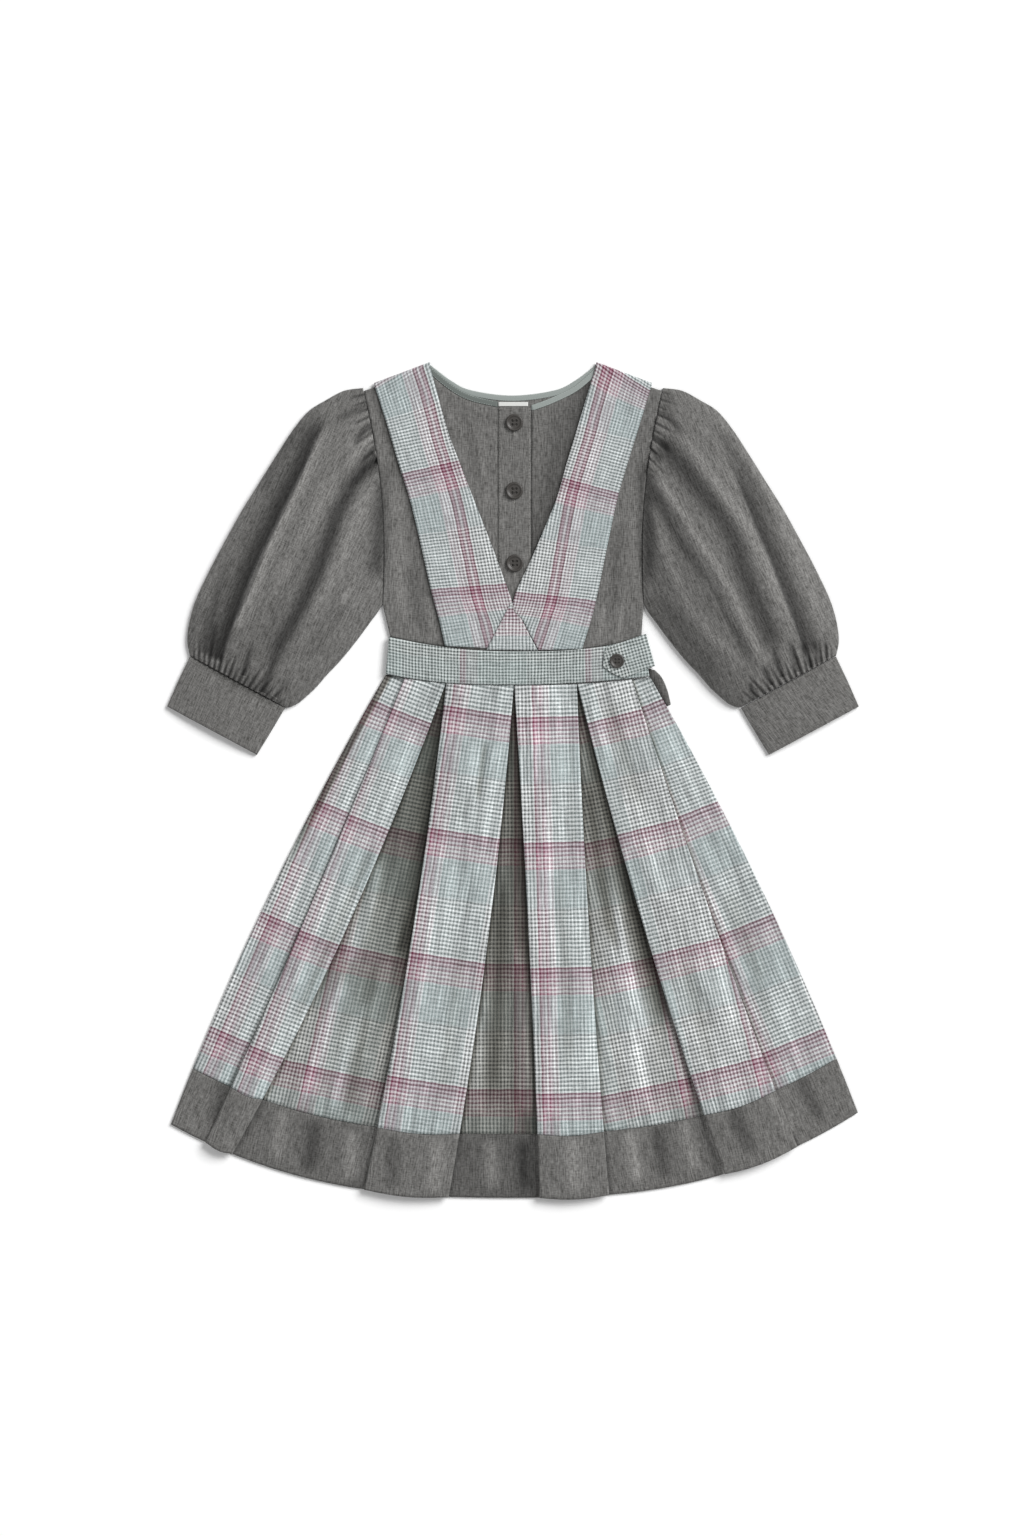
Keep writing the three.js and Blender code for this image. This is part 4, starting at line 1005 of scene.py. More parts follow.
def skirt_section(v):
    """The pleated front across at one level: x, z, droop, part of the skirt and the share across it."""
    pitch = mix(*PLEAT_PITCH, ease(v))
    low = BACK_LAYER
    mid = low + pitch
    top = mid + pitch
    edge = across(LEFT_SIDE, v)
    points = [(edge, low, 0.0, 0, 0.0)]
    for number, (left, right) in enumerate(PLEATS):
        under = 2 * number
        part = under + 1
        start = across(left, v) + SEAM / 2
        end = across(right, v) - SEAM / 2
        inset = pitch / 2 + WALL / 2
        columns = SIDE_COLUMNS if number == 0 else UNDER_COLUMNS
        points += level_points(edge, start + PLEAT_TUCK - inset, low, under, columns)
        points += turn_points(start + PLEAT_TUCK, 1, low, mid, under)
        points += level_points(start + PLEAT_TUCK - inset, start + inset, mid, part, TUCK_COLUMNS)
        points += turn_points(start, -1, mid, top, part)
        points += panel_points(start + inset, end - inset, top, v, part)
        points += turn_points(end, 1, top, mid, part)
        points += level_points(end - inset, end - PLEAT_TUCK + inset, mid, part, TUCK_COLUMNS)
        points += turn_points(end - PLEAT_TUCK, -1, mid, low, under + 2)
        edge = end - PLEAT_TUCK + inset
    points += level_points(edge, across(RIGHT_SIDE, v), low, 8, SIDE_COLUMNS)
    points.append((across(RIGHT_SIDE, v), low, 0.0, 8, 1.0))
    return points


def skirt_front_points(from_v, to_v, rows, creases_for):
    """Rows of points down the front, with each part's creases, and the part that each column is in."""
    points = []
    reliefs = []
    for i in range(rows + 1):
        v = mix(from_v, to_v, i / rows)
        row = []
        relief_row = []
        parts = []
        shares = []
        for x, z, droop, part, share in skirt_section(v):
            y = skirt_y(x, v) - droop
            edge = ease(min(share, 1 - share) / 0.12) if 0 < share < 1 else 0.0
            relief = crease_height(creases_for(part), x, y) * edge
            relief_row.append(relief)
            if part % 2 == 0:
                relief = max(relief, -0.35)
            row.append((x, y, z + max(relief, -1.5)))
            parts.append(part)
            shares.append(share)
        points.append(row)
        reliefs.append(relief_row)
    return points, reliefs, parts, shares


# How far the topmost wine band lies below its even place, where the cloth is eased in at the waist
TOP_BAND_DROPS = {0: 11, 1: 10, 3: 2, 7: 9, 8: 9}


def skirt_lay_cloth(points, parts):
    """Cloth coordinates of the skirt: each part has its own lean and its own place in the check."""
    frames = []
    for lay in SKIRT_LAYS:
        cos = math.cos(math.radians(lay.lean))
        sin = math.sin(math.radians(lay.lean))
        frames.append((cos, sin, lay))

    def cloth(i, j, column):
        part = parts[min(column + 1, len(parts) - 1)]
        cos, sin, lay = frames[part]
        x, y, z = points[i][j]
        u = (x - lay.stripe_x) * cos - (y - lay.stripe_y) * sin
        v = -(x - lay.band_x) * sin - (y - lay.band_y) * cos
        v -= TOP_BAND_DROPS.get(part, 0) * ease((y + 30) / 85)
        return u, v
    return cloth


# Painted shade of the cloth under the pleats: all over it at the top and at the hem, and beside the edge to its
# right
UnderShade = namedtuple("UnderShade", "top hem beside beside_hem")
# Painted highlight on the hem band just left of each raised pleat's left edge, where the pleat's step throws a
# shadow
HEM_EDGE_HIGHLIGHTS = {0: 0.3, 2: 0.3, 4: 0.5, 6: 0.6}
# Painted light over each raised pleat, lighter on the middle one and a touch darker on the right one, fading out
# lower down
PLEAT_PAINTED_LIGHT = {1: 0.0, 3: 0.0, 5: 0.05, 7: -0.01}
UNDER_SHADES = {
    2: UnderShade(0.38, 0.10, 0.30, 0.10),
    4: UnderShade(0.33, 0.26, 0.26, 0.20),
    6: UnderShade(0.19, 0.04, 0.37, 0.15),
}


def skirt_shade(points, reliefs, parts, shares, from_v, to_v, strength):
    """Painted shade: darker where the cloth lies in the shadow between two raised pleats, most beside the edge
    to its right, down the left side where the cloth turns under, and in the creases; painted highlight on the
    creases' ridges, over the raised pleats and along their edges, and on the hem band beside their left edges."""
    rows = len(points) - 1

    def shade(i, j):
        part = parts[j]
        x = points[i][j][0]
        v = mix(from_v, to_v, i / rows)
        # Painted shade in the creases' troughs and painted highlight on their ridges, stronger on the hem band
        tone = 1.0 + mix(0.075, 0.06, part % 2) * max(min(reliefs[i][j], 2.2), -4.5) * (1.5 if v > 1 else 1.0)
        if part % 2:
            # A raised pleat: painted light over it, and a painted highlight along both its edges
            left, right = PLEATS[part // 2]
            rim = min(x - across(left, v), across(right, v) - x)
            return tone + PLEAT_PAINTED_LIGHT[part] * hold(1.15 - v) + 0.12 * math.exp(-((rim / 1.1) ** 2))
        if part > 0:
            # Painted shadow just right of the raised pleat to the left
            gap = x - across(PLEATS[part // 2 - 1][1], v)
            tone -= strength * 0.28 * math.exp(-((max(gap, 0) / 1.8) ** 2))
        if part == 0:
            # Painted shade down the upper part of the left side, where the cloth turns under
            strip = x - across(LEFT_SIDE, v)
            tone -= strength * 0.40 * ease((6.0 - strip) / 1.4) * ease((0.56 - v) / 0.3)
            # Painted shadow line just left of the first raised pleat, stronger lower down
            gap = across(PLEATS[0][0], v) - x
            tone -= strength * 0.1 * ease(v * 1.6) * math.exp(-((max(gap, 0) / 2.0) ** 2))
        if v > 1 and part in HEM_EDGE_HIGHLIGHTS:
            # Painted highlight on the hem band just left of the next raised pleat's left edge
            gap = max(across(PLEATS[part // 2][0], v) - x, 0)
            tone += HEM_EDGE_HIGHLIGHTS[part] * math.exp(-((gap / 1.8) ** 2))
        if part in (2, 4, 6):
            # Painted shade under the pleats, deepest beside the raised pleat to the right
            under = UNDER_SHADES[part]
            gap = max(across(PLEATS[part // 2][0], v) - x, 0)
            reach = mix(6.0, 19.0, hold(v))
            beside = mix(under.beside, under.beside_hem, ease((v - 0.5) / 0.4))
            tone -= strength * mix(under.top, under.hem, ease((v - 0.2) / 0.7))
            tone -= strength * beside * math.exp(-((gap / reach) ** 2))
        return max(tone, 0.4)
    return shade


def skirt_back_points(from_v, to_v, rows, columns):
    inset = 1.2
    points = []
    for i in range(rows + 1):
        v = mix(from_v, to_v, i / rows)
        row = []
        for j in range(columns + 1):
            x = mix(across(LEFT_SIDE, v) + inset, across(RIGHT_SIDE, v) - inset, j / columns)
            row.append((x, skirt_y(x, v), FLOOR_LAYER))
        points.append(row)
    return points


def make_skirt(settings):
    points, reliefs, parts, shares = skirt_front_points(0, 1, SKIRT_ROWS, lambda part: SKIRT_CREASES.get(part, []))
    shade = skirt_shade(points, reliefs, parts, shares, 0, 1, settings.pleat_shade)
    mesh = grid_mesh("skirt_front_cloth", points, skirt_lay_cloth(points, parts), shade=shade)
    piece = place_piece(mesh, "skirt_front_cloth", "plaid", ["skirt_front"])
    thicken(piece, settings.wall / MM)
    declare_cut("skirt_front")

    points = skirt_back_points(0, 1, 40, 48)
    mesh = grid_mesh("skirt_back_cloth", points, turned_cloth(points, 0, -40, -27))
    piece = place_piece(mesh, "skirt_back_cloth", "plaid", ["skirt_back"])
    thicken(piece, settings.wall / MM)
    declare_cut("skirt_back")


def make_hem_bands(settings):
    start = 1 + SEAM / SKIRT_DROP
    end = 1 + HEM_BAND
    points, reliefs, parts, shares = skirt_front_points(start, end, HEM_ROWS, lambda part: HEM_CREASES)
    shade = skirt_shade(points, reliefs, parts, shares, start, end, settings.pleat_shade * 0.6)
    mesh = grid_mesh("hem_band_front_cloth", points, skirt_lay_cloth(points, parts), shade=shade)
    piece = place_piece(mesh, "hem_band_front_cloth", "grey", ["hem_band_front"])
    thicken(piece, settings.wall / MM)
    declare_cut("hem_band_front")

    points = skirt_back_points(start, end, 8, 48)
    mesh = grid_mesh("hem_band_back_cloth", points, simple_cloth(points))
    piece = place_piece(mesh, "hem_band_back_cloth", "grey", ["hem_band_back"])
    thicken(piece, settings.wall / MM)
    declare_cut("hem_band_back")


# The waistband and its tab

def waistband_points(inset, level, columns=110, rows=14):
    points = []
    for i in range(rows + 1):
        v = i / rows
        row = []
        for j in range(columns + 1):
            u = j / columns
            top_x = mix(BAND_ENDS["left_top"] + inset, BAND_ENDS["right_top"] - inset, u)
            bottom_x = mix(BAND_ENDS["left_bottom"] + inset, BAND_ENDS["right_bottom"] - inset, u)
            y = mix(band_top(top_x), band_bottom(bottom_x), v)
            row.append((mix(top_x, bottom_x, v), y, level))
        points.append(row)
    return points


def band_cloth(points, stripe_x, start):
    def cloth(i, j, column):
        x, y, z = points[i][j]
        return x - stripe_x, y - band_bottom(x) + start
    return cloth


def make_waistbands(settings):
    points = waistband_points(0, BAND_LAYER)
    mesh = grid_mesh("waistband_front_cloth", points, band_cloth(points, -47, 38))
    piece = place_piece(mesh, "waistband_front_cloth", "waist_plaid", ["waistband_front"])
    thicken(piece, BAND_WALL)
    declare_cut("waistband_front")

    points = waistband_points(1, 0.8, 60, 6)
    mesh = grid_mesh("waistband_back_cloth", points, band_cloth(points, -47, 38))
    piece = place_piece(mesh, "waistband_back_cloth", "waist_plaid", ["waistband_back"])
    thicken(piece, 1.6)
    declare_cut("waistband_back")


def tab_points(columns=24):
    rows = [(r.up_x, r.up_y, r.down_x, r.down_y, TAB_LAYER) for r in TAB_ROWS]
    fine = [rows[0]]
    for a, b in zip(rows, rows[1:]):
        for k in range(1, 7):
            fine.append(tuple(mix(p, q, k / 6) for p, q in zip(a, b)))
    low = TAB_WALL / 2
    radius = (TAB_LAYER - low) / 2
    for k in range(13):
        angle = math.pi * k / 12
        back = radius + TAB_WALL / 2 - radius * math.sin(angle)
        up = (TAB_TURN.up_x - back, TAB_TURN.up_y - back * TAB_SLOPE)
        down = (TAB_TURN.down_x - back, TAB_TURN.down_y - back * TAB_SLOPE)
        fine.append((*up, *down, low + radius + radius * math.cos(angle)))
    points = []
    for up_x, up_y, down_x, down_y, z in fine:
        row = []
        for j in range(columns + 1):
            t = j / columns
            row.append((mix(up_x, down_x, t), mix(up_y, down_y, t), z))
        points.append(row)
    return points


def make_tab(settings):
    points = tab_points()
    mesh = grid_mesh("waist_tab_cloth", points, turned_cloth(points, 74, 60, 60))
    piece = place_piece(mesh, "waist_tab_cloth", "waist_plaid", ["waist_tab"])
    thicken(piece, TAB_WALL)
    declare_cut("waist_tab")

    rows = [(r.up_x, r.up_y, r.down_x, r.down_y) for r in SIDE_PLACKET]
    points = []
    for i in range(25):
        a, b, c, d = path_point(rows, i / 24)
        points.append([(mix(a, c, j / 8), mix(b, d, j / 8), FLOOR_LAYER) for j in range(9)])
    last = len(points[0]) - 1
    # Painted shade: the facing is darkest along its left edge, in the shadow of the opening, and lighter towards
    # its right edge
    mesh = grid_mesh("side_placket_cloth", points, simple_cloth(points),
                     shade=lambda i, j: 0.62 + 0.28 * ease(j / last * 1.4))
    piece = place_piece(mesh, "side_placket_cloth", "grey", ["side_placket"])
    thicken(piece, WALL)
    declare_cut("side_placket")


# The bodice

def ring_plan(ring, side, share):
    """A place in plan on a sleeve's ring, from its outer edge (0) to its under-edge (1)."""
    span_x = ring.low_x - ring.out_x
    span_y = ring.low_y - ring.out_y
    span = math.hypot(span_x, span_y)
    bow = ring.bow * math.sin(math.pi * share)
    x = ring.out_x + span_x * share - span_y / span * bow
    y = ring.out_y + span_y * share + span_x / span * bow
    return side * x, y


def bodice_side(side, steps):
    """The side seam, then the armhole just inside the sleeve, from the waist up."""
    ring = SLEEVE_RINGS[0]
    under = (side * (ring.low_x - SEAM), ring.low_y + SEAM)
    waist = WAIST_LEFT if side < 0 else WAIST_RIGHT
    places = []
    for i in range(steps + 1):
        v = i / steps
        if v < ARMHOLE_START:
            t = v / ARMHOLE_START
            places.append([mix(waist[0], under[0], t), mix(waist[1], under[1], t)])
        else:
            share = 1 - (v - ARMHOLE_START) / (1 - ARMHOLE_START)
            x, y = ring_plan(ring, side, share)
            places.append([x - side * SEAM, y])
    places[-1] = [side * SHOULDER_TIP[0], SHOULDER_TIP[1]]
    return places


def between_edges(bottom, top, left, right, height):
    """Fills the space between four edges. Bottom and top run the same way, left and right run up."""
    columns = len(bottom) - 1
    rows = len(left) - 1
    points = []
    for i in range(rows, -1, -1):
        v = i / rows
        row = []
        for j in range(columns + 1):
            u = j / columns
            place = []
            for axis in (0, 1):
                edges = mix(bottom[j][axis], top[j][axis], v) + mix(left[i][axis], right[i][axis], u)
                low = mix(bottom[0][axis], bottom[columns][axis], u)
                high = mix(top[0][axis], top[columns][axis], u)
                place.append(edges - mix(low, high, v))
            row.append((place[0], place[1], height(place[0], place[1], u, v)))
        points.append(row)
    return points


def straight(start, end, steps):
    return [[mix(start[0], end[0], k / steps), mix(start[1], end[1], k / steps)] for k in range(steps + 1)]


def armhole_lift(u, v):
    round_up = math.sin(math.pi * hold((v - ARMHOLE_START) / (1 - ARMHOLE_START)))
    return ARMHOLE_LIFT * ease((u - (1 - LIFT_SHARE)) / LIFT_SHARE) * round_up


def front_half_points(side, neck, placket_edge, rows=78):
    """Half of the front, from the placket's edge out to the side."""
    neck_steps = 48
    shoulder_steps = 24
    edge = moved_aside(spaced_path(neck, neck_steps), side * (BINDING_WIDTH + SEAM))[::-1]
    corner = edge[neck_steps]
    edge[0][0] = placket_edge
    shoulder = straight(corner, (side * SHOULDER_TIP[0], SHOULDER_TIP[1]), shoulder_steps)
    top = edge + shoulder[1:]
    steps = neck_steps + shoulder_steps
    waist = WAIST_LEFT if side < 0 else WAIST_RIGHT
    bottom = []
    for j in range(steps + 1):
        x = mix(placket_edge, waist[0], j / steps)
        bottom.append([x, band_top(x) + SEAM])
    left = straight(bottom[0], top[0], rows)
    right = bodice_side(side, rows)
    right[0] = list(bottom[steps])

    laid = laid_folds(BODICE_FOLDS[side])

    def height(x, y, u, v):
        edge = ease(min(u, 1 - u) / 0.06) * ease(min(v, 1 - v) / 0.05)
        return FRONT_LAYER + armhole_lift(u, v) + max(folds_at(laid, x, y)[0], -0.3) * edge
    return between_edges(bottom, top, left, right, height)


def bodice_shade(points, side):
    """Painted shade and highlight of the folds, with a painted shadow that a strap throws to its left."""
    laid = laid_folds(BODICE_FOLDS[side])
    if side < 0:
        line = [(r.out_x, r.out_y) for r in STRAP_LEFT] + [(-STRAP_FOLD.out_x, STRAP_FOLD.out_y)]
    else:
        line = [(r.in_x, r.in_y) for r in STRAP_RIGHT] + [(STRAP_FOLD.in_x, STRAP_FOLD.in_y)]
    near, far, wide = (0.22, 0.06, 9) if side < 0 else (0.20, 0.20, 20)

    def shade(i, j):
        x, y, z = points[i][j]
        # Painted shade and highlight of the folds
        tone = 1.0 + folds_at(laid, x, y)[1]
        # Painted shadow to the left of the strap's edge
        gap = x_at(line, y) - x
        if gap > 0:
            tone -= near * math.exp(-((gap / 3.5) ** 2)) + far * math.exp(-((gap / wide) ** 2))
        return tone
    return shade


def mirrored_rows(points):
    """Turns each row round, so that a piece made from right to left still faces up."""
    return [row[::-1] for row in points]


def make_bodice(settings):
    halves = [("left", -1, NECK_LEFT, PLACKET["left"] - SEAM), ("right", 1, NECK_RIGHT, PLACKET["right"] + SEAM)]
    for name, side, neck, edge in halves:
        points = front_half_points(side, neck, edge)
        if side < 0:
            points = mirrored_rows(points)
        shade = bodice_shade(points, side)
        mesh = grid_mesh(f"bodice_front_{name}_cloth", points, simple_cloth(points), shade=shade)
        piece = place_piece(mesh, f"bodice_front_{name}_cloth", "grey", [f"bodice_front_{name}"])
        thicken(piece, settings.wall / MM)
        declare_cut(f"bodice_front_{name}")

    points = []
    for i in range(81):
        row = []
        for j in range(13):
            x = mix(PLACKET["left"], PLACKET["right"], j / 12)
            y = mix(PLACKET["top"], band_top(x) + SEAM, i / 80)
            row.append((x, y, FRONT_LAYER + (PLACKET["wall"] - WALL) / 2))
        points.append(row)
    mesh = grid_mesh("placket_cloth", points, simple_cloth(points))
    piece = place_piece(mesh, "placket_cloth", "grey", ["placket"])
    thicken(piece, PLACKET["wall"])
    declare_cut("placket")
    make_bodice_back(settings)


def make_bodice_back(settings):
    neck_steps = 70
    shoulder_steps = 20
    rows = 60
    edge = moved_aside(spaced_path(NECK_BACK, neck_steps), -(BINDING_WIDTH + SEAM))
    tip_x, tip_y = SHOULDER_TIP
    top = straight((-tip_x, tip_y), edge[0], shoulder_steps) + edge[1:]
    top += straight(edge[-1], (tip_x, tip_y), shoulder_steps)[1:]
    steps = neck_steps + 2 * shoulder_steps
    bottom = []
    for j in range(steps + 1):
        x = mix(WAIST_LEFT[0], WAIST_RIGHT[0], j / steps)
        bottom.append([x, band_top(x) + SEAM])
    left = bodice_side(-1, rows)
    right = bodice_side(1, rows)
    left[0] = list(bottom[0])
    right[0] = list(bottom[steps])
    points = between_edges(bottom, top, left, right, lambda x, y, u, v: BACK_LAYER)
    mesh = grid_mesh("bodice_back_cloth", points, simple_cloth(points))
    piece = place_piece(mesh, "bodice_back_cloth", "grey", ["bodice_back"])
    thicken(piece, settings.wall / MM)
    declare_cut("bodice_back")


def binding_points(neck, steps, side, level):
    """A narrow strip along the neck, a little rounded across."""
    outer = spaced_path(neck, steps)
    points = []
    for k in range(7):
        share = k / 6
        z = level + 0.18 * math.sin(math.pi * share)
        points.append([(x, y, z) for x, y in moved_aside(outer, side * BINDING_WIDTH * share)])
    return points


def make_neck(settings):
    strips = [
        ("neck_binding_front_left", NECK_LEFT, -1, FRONT_LAYER, 60),
        ("neck_binding_front_right", NECK_RIGHT, 1, FRONT_LAYER, 60),
        ("neck_binding_back", NECK_BACK, -1, BACK_LAYER, 110),
    ]
    for name, neck, side, level, steps in strips:
        points = binding_points(neck, steps, side, level)
        if "front" in name:
            for row in points:
                row[-1] = (neck[-1][0], *row[-1][1:])
        if side > 0:
            points = points[::-1]
        mesh = grid_mesh(f"{name}_strip", points, simple_cloth(points))
        # The left front binding takes the painted-shade copy of the binding
        binding_material = "shaded_binding" if name == "neck_binding_front_left" else "binding"
        piece = place_piece(mesh, f"{name}_strip", binding_material, [name])
        thicken(piece, WALL)
        declare_cut(name)

    points = []
    for k in range(7):
        y = mix(LABEL["top"], LABEL["bottom"], k / 6)
        points.append([(mix(LABEL["left"], LABEL["right"], j / 20), y, FRONT_LAYER) for j in range(21)])
    mesh = grid_mesh("neck_label_tape", points, simple_cloth(points))
    piece = place_piece(mesh, "neck_label_tape", "label", ["neck_label"])
    thicken(piece, WALL)
    declare_cut("neck_label")


# The sleeves

def round_top(share):
    return max(math.sin(math.pi * hold(share)), 0.0) ** 0.6


def ring_at(rings, t):
    return Ring(*path_point(rings, t))


def gather_height(gathers, ring, fan, distance_sign, x, y):
    """Short troughs that fan out from a gathered ring's seam, with the cloth pushed up a little beside
    each. The seam is the ring's line in plan, from its outer edge to its under-edge."""
    run_x = ring.low_x - ring.out_x
    run_y = ring.low_y - ring.out_y
    span = math.hypot(run_x, run_y)
    along = ((x - ring.out_x) * run_x + (y - ring.out_y) * run_y) / span
    bow = ring.bow * math.sin(math.pi * hold(along / span))
    distance = ((y - ring.out_y) * run_x - (x - ring.out_x) * run_y) / span - bow
    distance = max(distance * distance_sign, 0.0)
    total = 0.0
    for g in gathers:
        if distance > g.length:
            continue
        aside = along - g.place * span - distance * mix(fan[0], fan[1], g.place)
        if abs(aside) > 4 * g.width:
            continue
        fade = 1 - (distance / g.length) ** 2
        wave = (aside / g.width) ** 2
        total -= g.depth * fade * (1 - 0.8 * wave) * math.exp(-0.6 * wave)
    return total


def tube_points(rings, side, along, around, under, relief):
    """Rows of closed rings: each runs over the top from the outer edge, then back under on the surface."""
    points = []
    tones = []
    for i in range(along + 1):
        t = i / along
        ring = ring_at(rings, t)
        row = []
        tone_row = []
        for k in range(around + 1):
            share = (1 - math.cos(math.pi * k / around)) / 2
            share = mix(k / around, share, 0.55)
            x, y = ring_plan(ring, side, share)
            z = SLEEVE_EDGE + (ring.height - SLEEVE_EDGE) * round_top(share)
            rise, tone = relief(t, share, x, y)
            z += rise * round_top(share)
            row.append((x, y, max(z, SLEEVE_EDGE * 0.6)))
            # Painted shade and highlight on the top; the underside gets none
            tone_row.append(1.0 + max(tone, -0.5))
        for k in range(under + 1):
            share = 1 - k / under
            x, y = ring_plan(ring, side, share)
            row.append((x, y, 0.0))
            tone_row.append(1.0)
        row.append(row[0])
        tone_row.append(tone_row[0])
        points.append(row)
        tones.append(tone_row)
    return points, tones


def tube_cloth(points):
    """Cloth coordinates round and along a tube."""
    rounds = []
    for row in points:
        total = [0.0]
        for a, b in zip(row, row[1:]):
            total.append(total[-1] + math.dist(a, b))
        rounds.append(total)
    lengths = [0.0]
    for upper, lower in zip(points, points[1:]):
        k = len(upper) // 3
        lengths.append(lengths[-1] + math.dist(upper[k][:2], lower[k][:2]))

    def cloth(i, j, column):
        return rounds[i][j], -lengths[i]
    return cloth


def make_sleeves(settings):
    for name, side in (("left", -1), ("right", 1)):
        laid = laid_folds(SLEEVE_FOLDS[side])

        def relief(t, share, x, y, side=side, laid=laid):
            # Painted shade and highlight of the folds and of the gathers, deeper with each millimetre of a gather
            rise, tone = folds_at(laid, x, y)
            gathers = gather_height(ARMHOLE_GATHERS[side], SLEEVE_RINGS[0], ARMHOLE_FAN, 1, side * x, y)
            gathers += gather_height(CUFF_GATHERS[side], SLEEVE_RINGS[-1], CUFF_FAN, -1, side * x, y)
            # Painted shade in a thin band where the sleeve meets the cuff
            seam = ease((t - 0.985) / 0.015) * 0.12
            return rise + gathers, tone + gathers * settings.gather_shade - seam
        points, tones = tube_points(SLEEVE_RINGS, side, 170, 220, 24, relief)
        if side > 0:
            points = mirrored_rows(points)
            tones = mirrored_rows(tones)

        def shade(i, j, tones=tones):
            return tones[i][j]
        cloth = turned_cloth(points, -side * SLEEVE_LEAN, side * 150, 330)
        mesh = grid_mesh(f"sleeve_{name}_cloth", points, cloth, ring=True, shade=shade)
        piece = place_piece(mesh, f"sleeve_{name}_cloth", "grey", [f"sleeve_{name}"])
        thicken(piece, SLEEVE_WALL * 0.8, -1.0)
        declare_cut(f"sleeve_{name}")


def make_cuffs(settings):
    for name, side in (("left", -1), ("right", 1)):
        points, tones = tube_points(CUFF_RINGS, side, 36, 90, 16, lambda t, share, x, y: (0.0, 0.0))
        if side > 0:
            points = mirrored_rows(points)
        mesh = grid_mesh(f"cuff_{name}_cloth", points, tube_cloth(points), ring=True)
        piece = place_piece(mesh, f"cuff_{name}_cloth", "grey", [f"cuff_{name}"])
        thicken(piece, SLEEVE_WALL * 0.8, -1.0)
        declare_cut(f"cuff_{name}")


# The straps

def strap_points(rows, side, columns=26):
    """A strap lies on the front, turns over the shoulder's edge and runs down under the back."""
    given = [(side * r.out_x * side, r.out_y, r.in_x, r.in_y, STRAP_LAYER + r.up * 1.3) for r in rows]
    radius = (STRAP_LAYER - FLOOR_LAYER) / 2
    fold = STRAP_FOLD
    start = radius + WALL / 2
    given.append((side * fold.out_x, fold.out_y - start, side * fold.in_x, fold.in_y - start, STRAP_LAYER))
    edges = [path_point(given, k / 90) for k in range(91)]
    for k in range(1, 13):
        angle = math.pi * k / 12
        back = start - radius * math.sin(angle)
        z = (STRAP_LAYER + FLOOR_LAYER) / 2 + radius * math.cos(angle)
        edges.append((side * fold.out_x, fold.out_y - back, side * fold.in_x, fold.in_y - back, z))
    last_out = band_top(side * STRAP_BACK_END["out_x"]) + SEAM
    last_in = band_top(side * STRAP_BACK_END["in_x"]) + SEAM
    for k in range(1, 31):
        t = k / 30
        out_x = side * mix(fold.out_x, STRAP_BACK_END["out_x"], t)
        in_x = side * mix(fold.in_x, STRAP_BACK_END["in_x"], t)
        out_y = mix(fold.out_y - radius, last_out, t)
        in_y = mix(fold.in_y - radius, last_in, t)
        edges.append((out_x, out_y, in_x, in_y, FLOOR_LAYER))
    points = []
    for out_x, out_y, in_x, in_y, z in edges:
        row = []
        for j in range(columns + 1):
            t = j / columns
            row.append((mix(out_x, in_x, t), mix(out_y, in_y, t), z))
        points.append(row)
    return points


def strap_cloth(points, start_across, start_along, lean, stretch):
    """Across the strap from its outer edge, and along it down towards the waist."""
    middle = len(points[0]) // 2
    lengths = [0.0]
    for a, b in zip(points, points[1:]):
        lengths.append(lengths[-1] + math.dist(a[middle], b[middle]))

    def cloth(i, j, column):
        width = math.dist(points[i][0], points[i][-1])
        share = j / (len(points[0]) - 1)
        return start_across - share * width, start_along - lengths[i] * stretch + (share - 0.5) * width * lean
    return cloth


def make_straps(settings):
    lays = (("left", -1, STRAP_LEFT, 170.5, 0.21, 1.0), ("right", 1, STRAP_RIGHT, 164.6, 0.27, 1.08))
    for name, side, rows, along, lean, stretch in lays:
        points = strap_points(rows, side)
        cloth = strap_cloth(points, 46.4, along, lean, stretch)
        if side > 0:
            flipped = mirrored_rows(points)
            columns = len(points[0]) - 1

            def turned(i, j, column, cloth=cloth, columns=columns):
                return cloth(i, columns - j, column)
            points, cloth = flipped, turned
        points = points[::-1]
        rows_last = len(points) - 1

        def upward(i, j, column, cloth=cloth, last=rows_last):
            return cloth(last - i, j, column)
        mesh = grid_mesh(f"strap_{name}_cloth", points, upward)
        piece = place_piece(mesh, f"strap_{name}_cloth", "strap_plaid", [f"strap_{name}"])
        thicken(piece, settings.wall / MM)
        declare_cut(f"strap_{name}")

    points = []
    for i in range(19):
        t = mix(0.03, 1, i / 18)
        left = (mix(GUSSET["peak"][0], GUSSET["left"][0], t), mix(GUSSET["peak"][1], GUSSET["left"][1], t))
        right = (mix(GUSSET["peak"][0], GUSSET["right"][0], t), mix(GUSSET["peak"][1], GUSSET["right"][1], t))
        points.append([(mix(left[0], right[0], j / 18), mix(left[1], right[1], j / 18), CROSSED_LAYER)
                       for j in range(19)])
    mesh = grid_mesh("strap_gusset_cloth", points, turned_cloth(points, 0, 30, 154))
    piece = place_piece(mesh, "strap_gusset_cloth", "strap_plaid", ["strap_gusset"])
    thicken(piece, settings.wall / MM)
    declare_cut("strap_gusset")


# The buttons

BUTTON_PROFILE = [
    (0.0, 0.64), (0.3, 0.64), (0.5, 0.65), (0.6, 0.67), (0.68, 0.76), (0.74, 0.88), (0.80, 0.96), (0.86, 1.0),
    (0.92, 0.97), (0.965, 0.88), (0.99, 0.75), (1.0, 0.6), (0.99, 0.42), (0.965, 0.26), (0.9, 0.12), (0.82, 0.0),
    (0.0, 0.0),
]


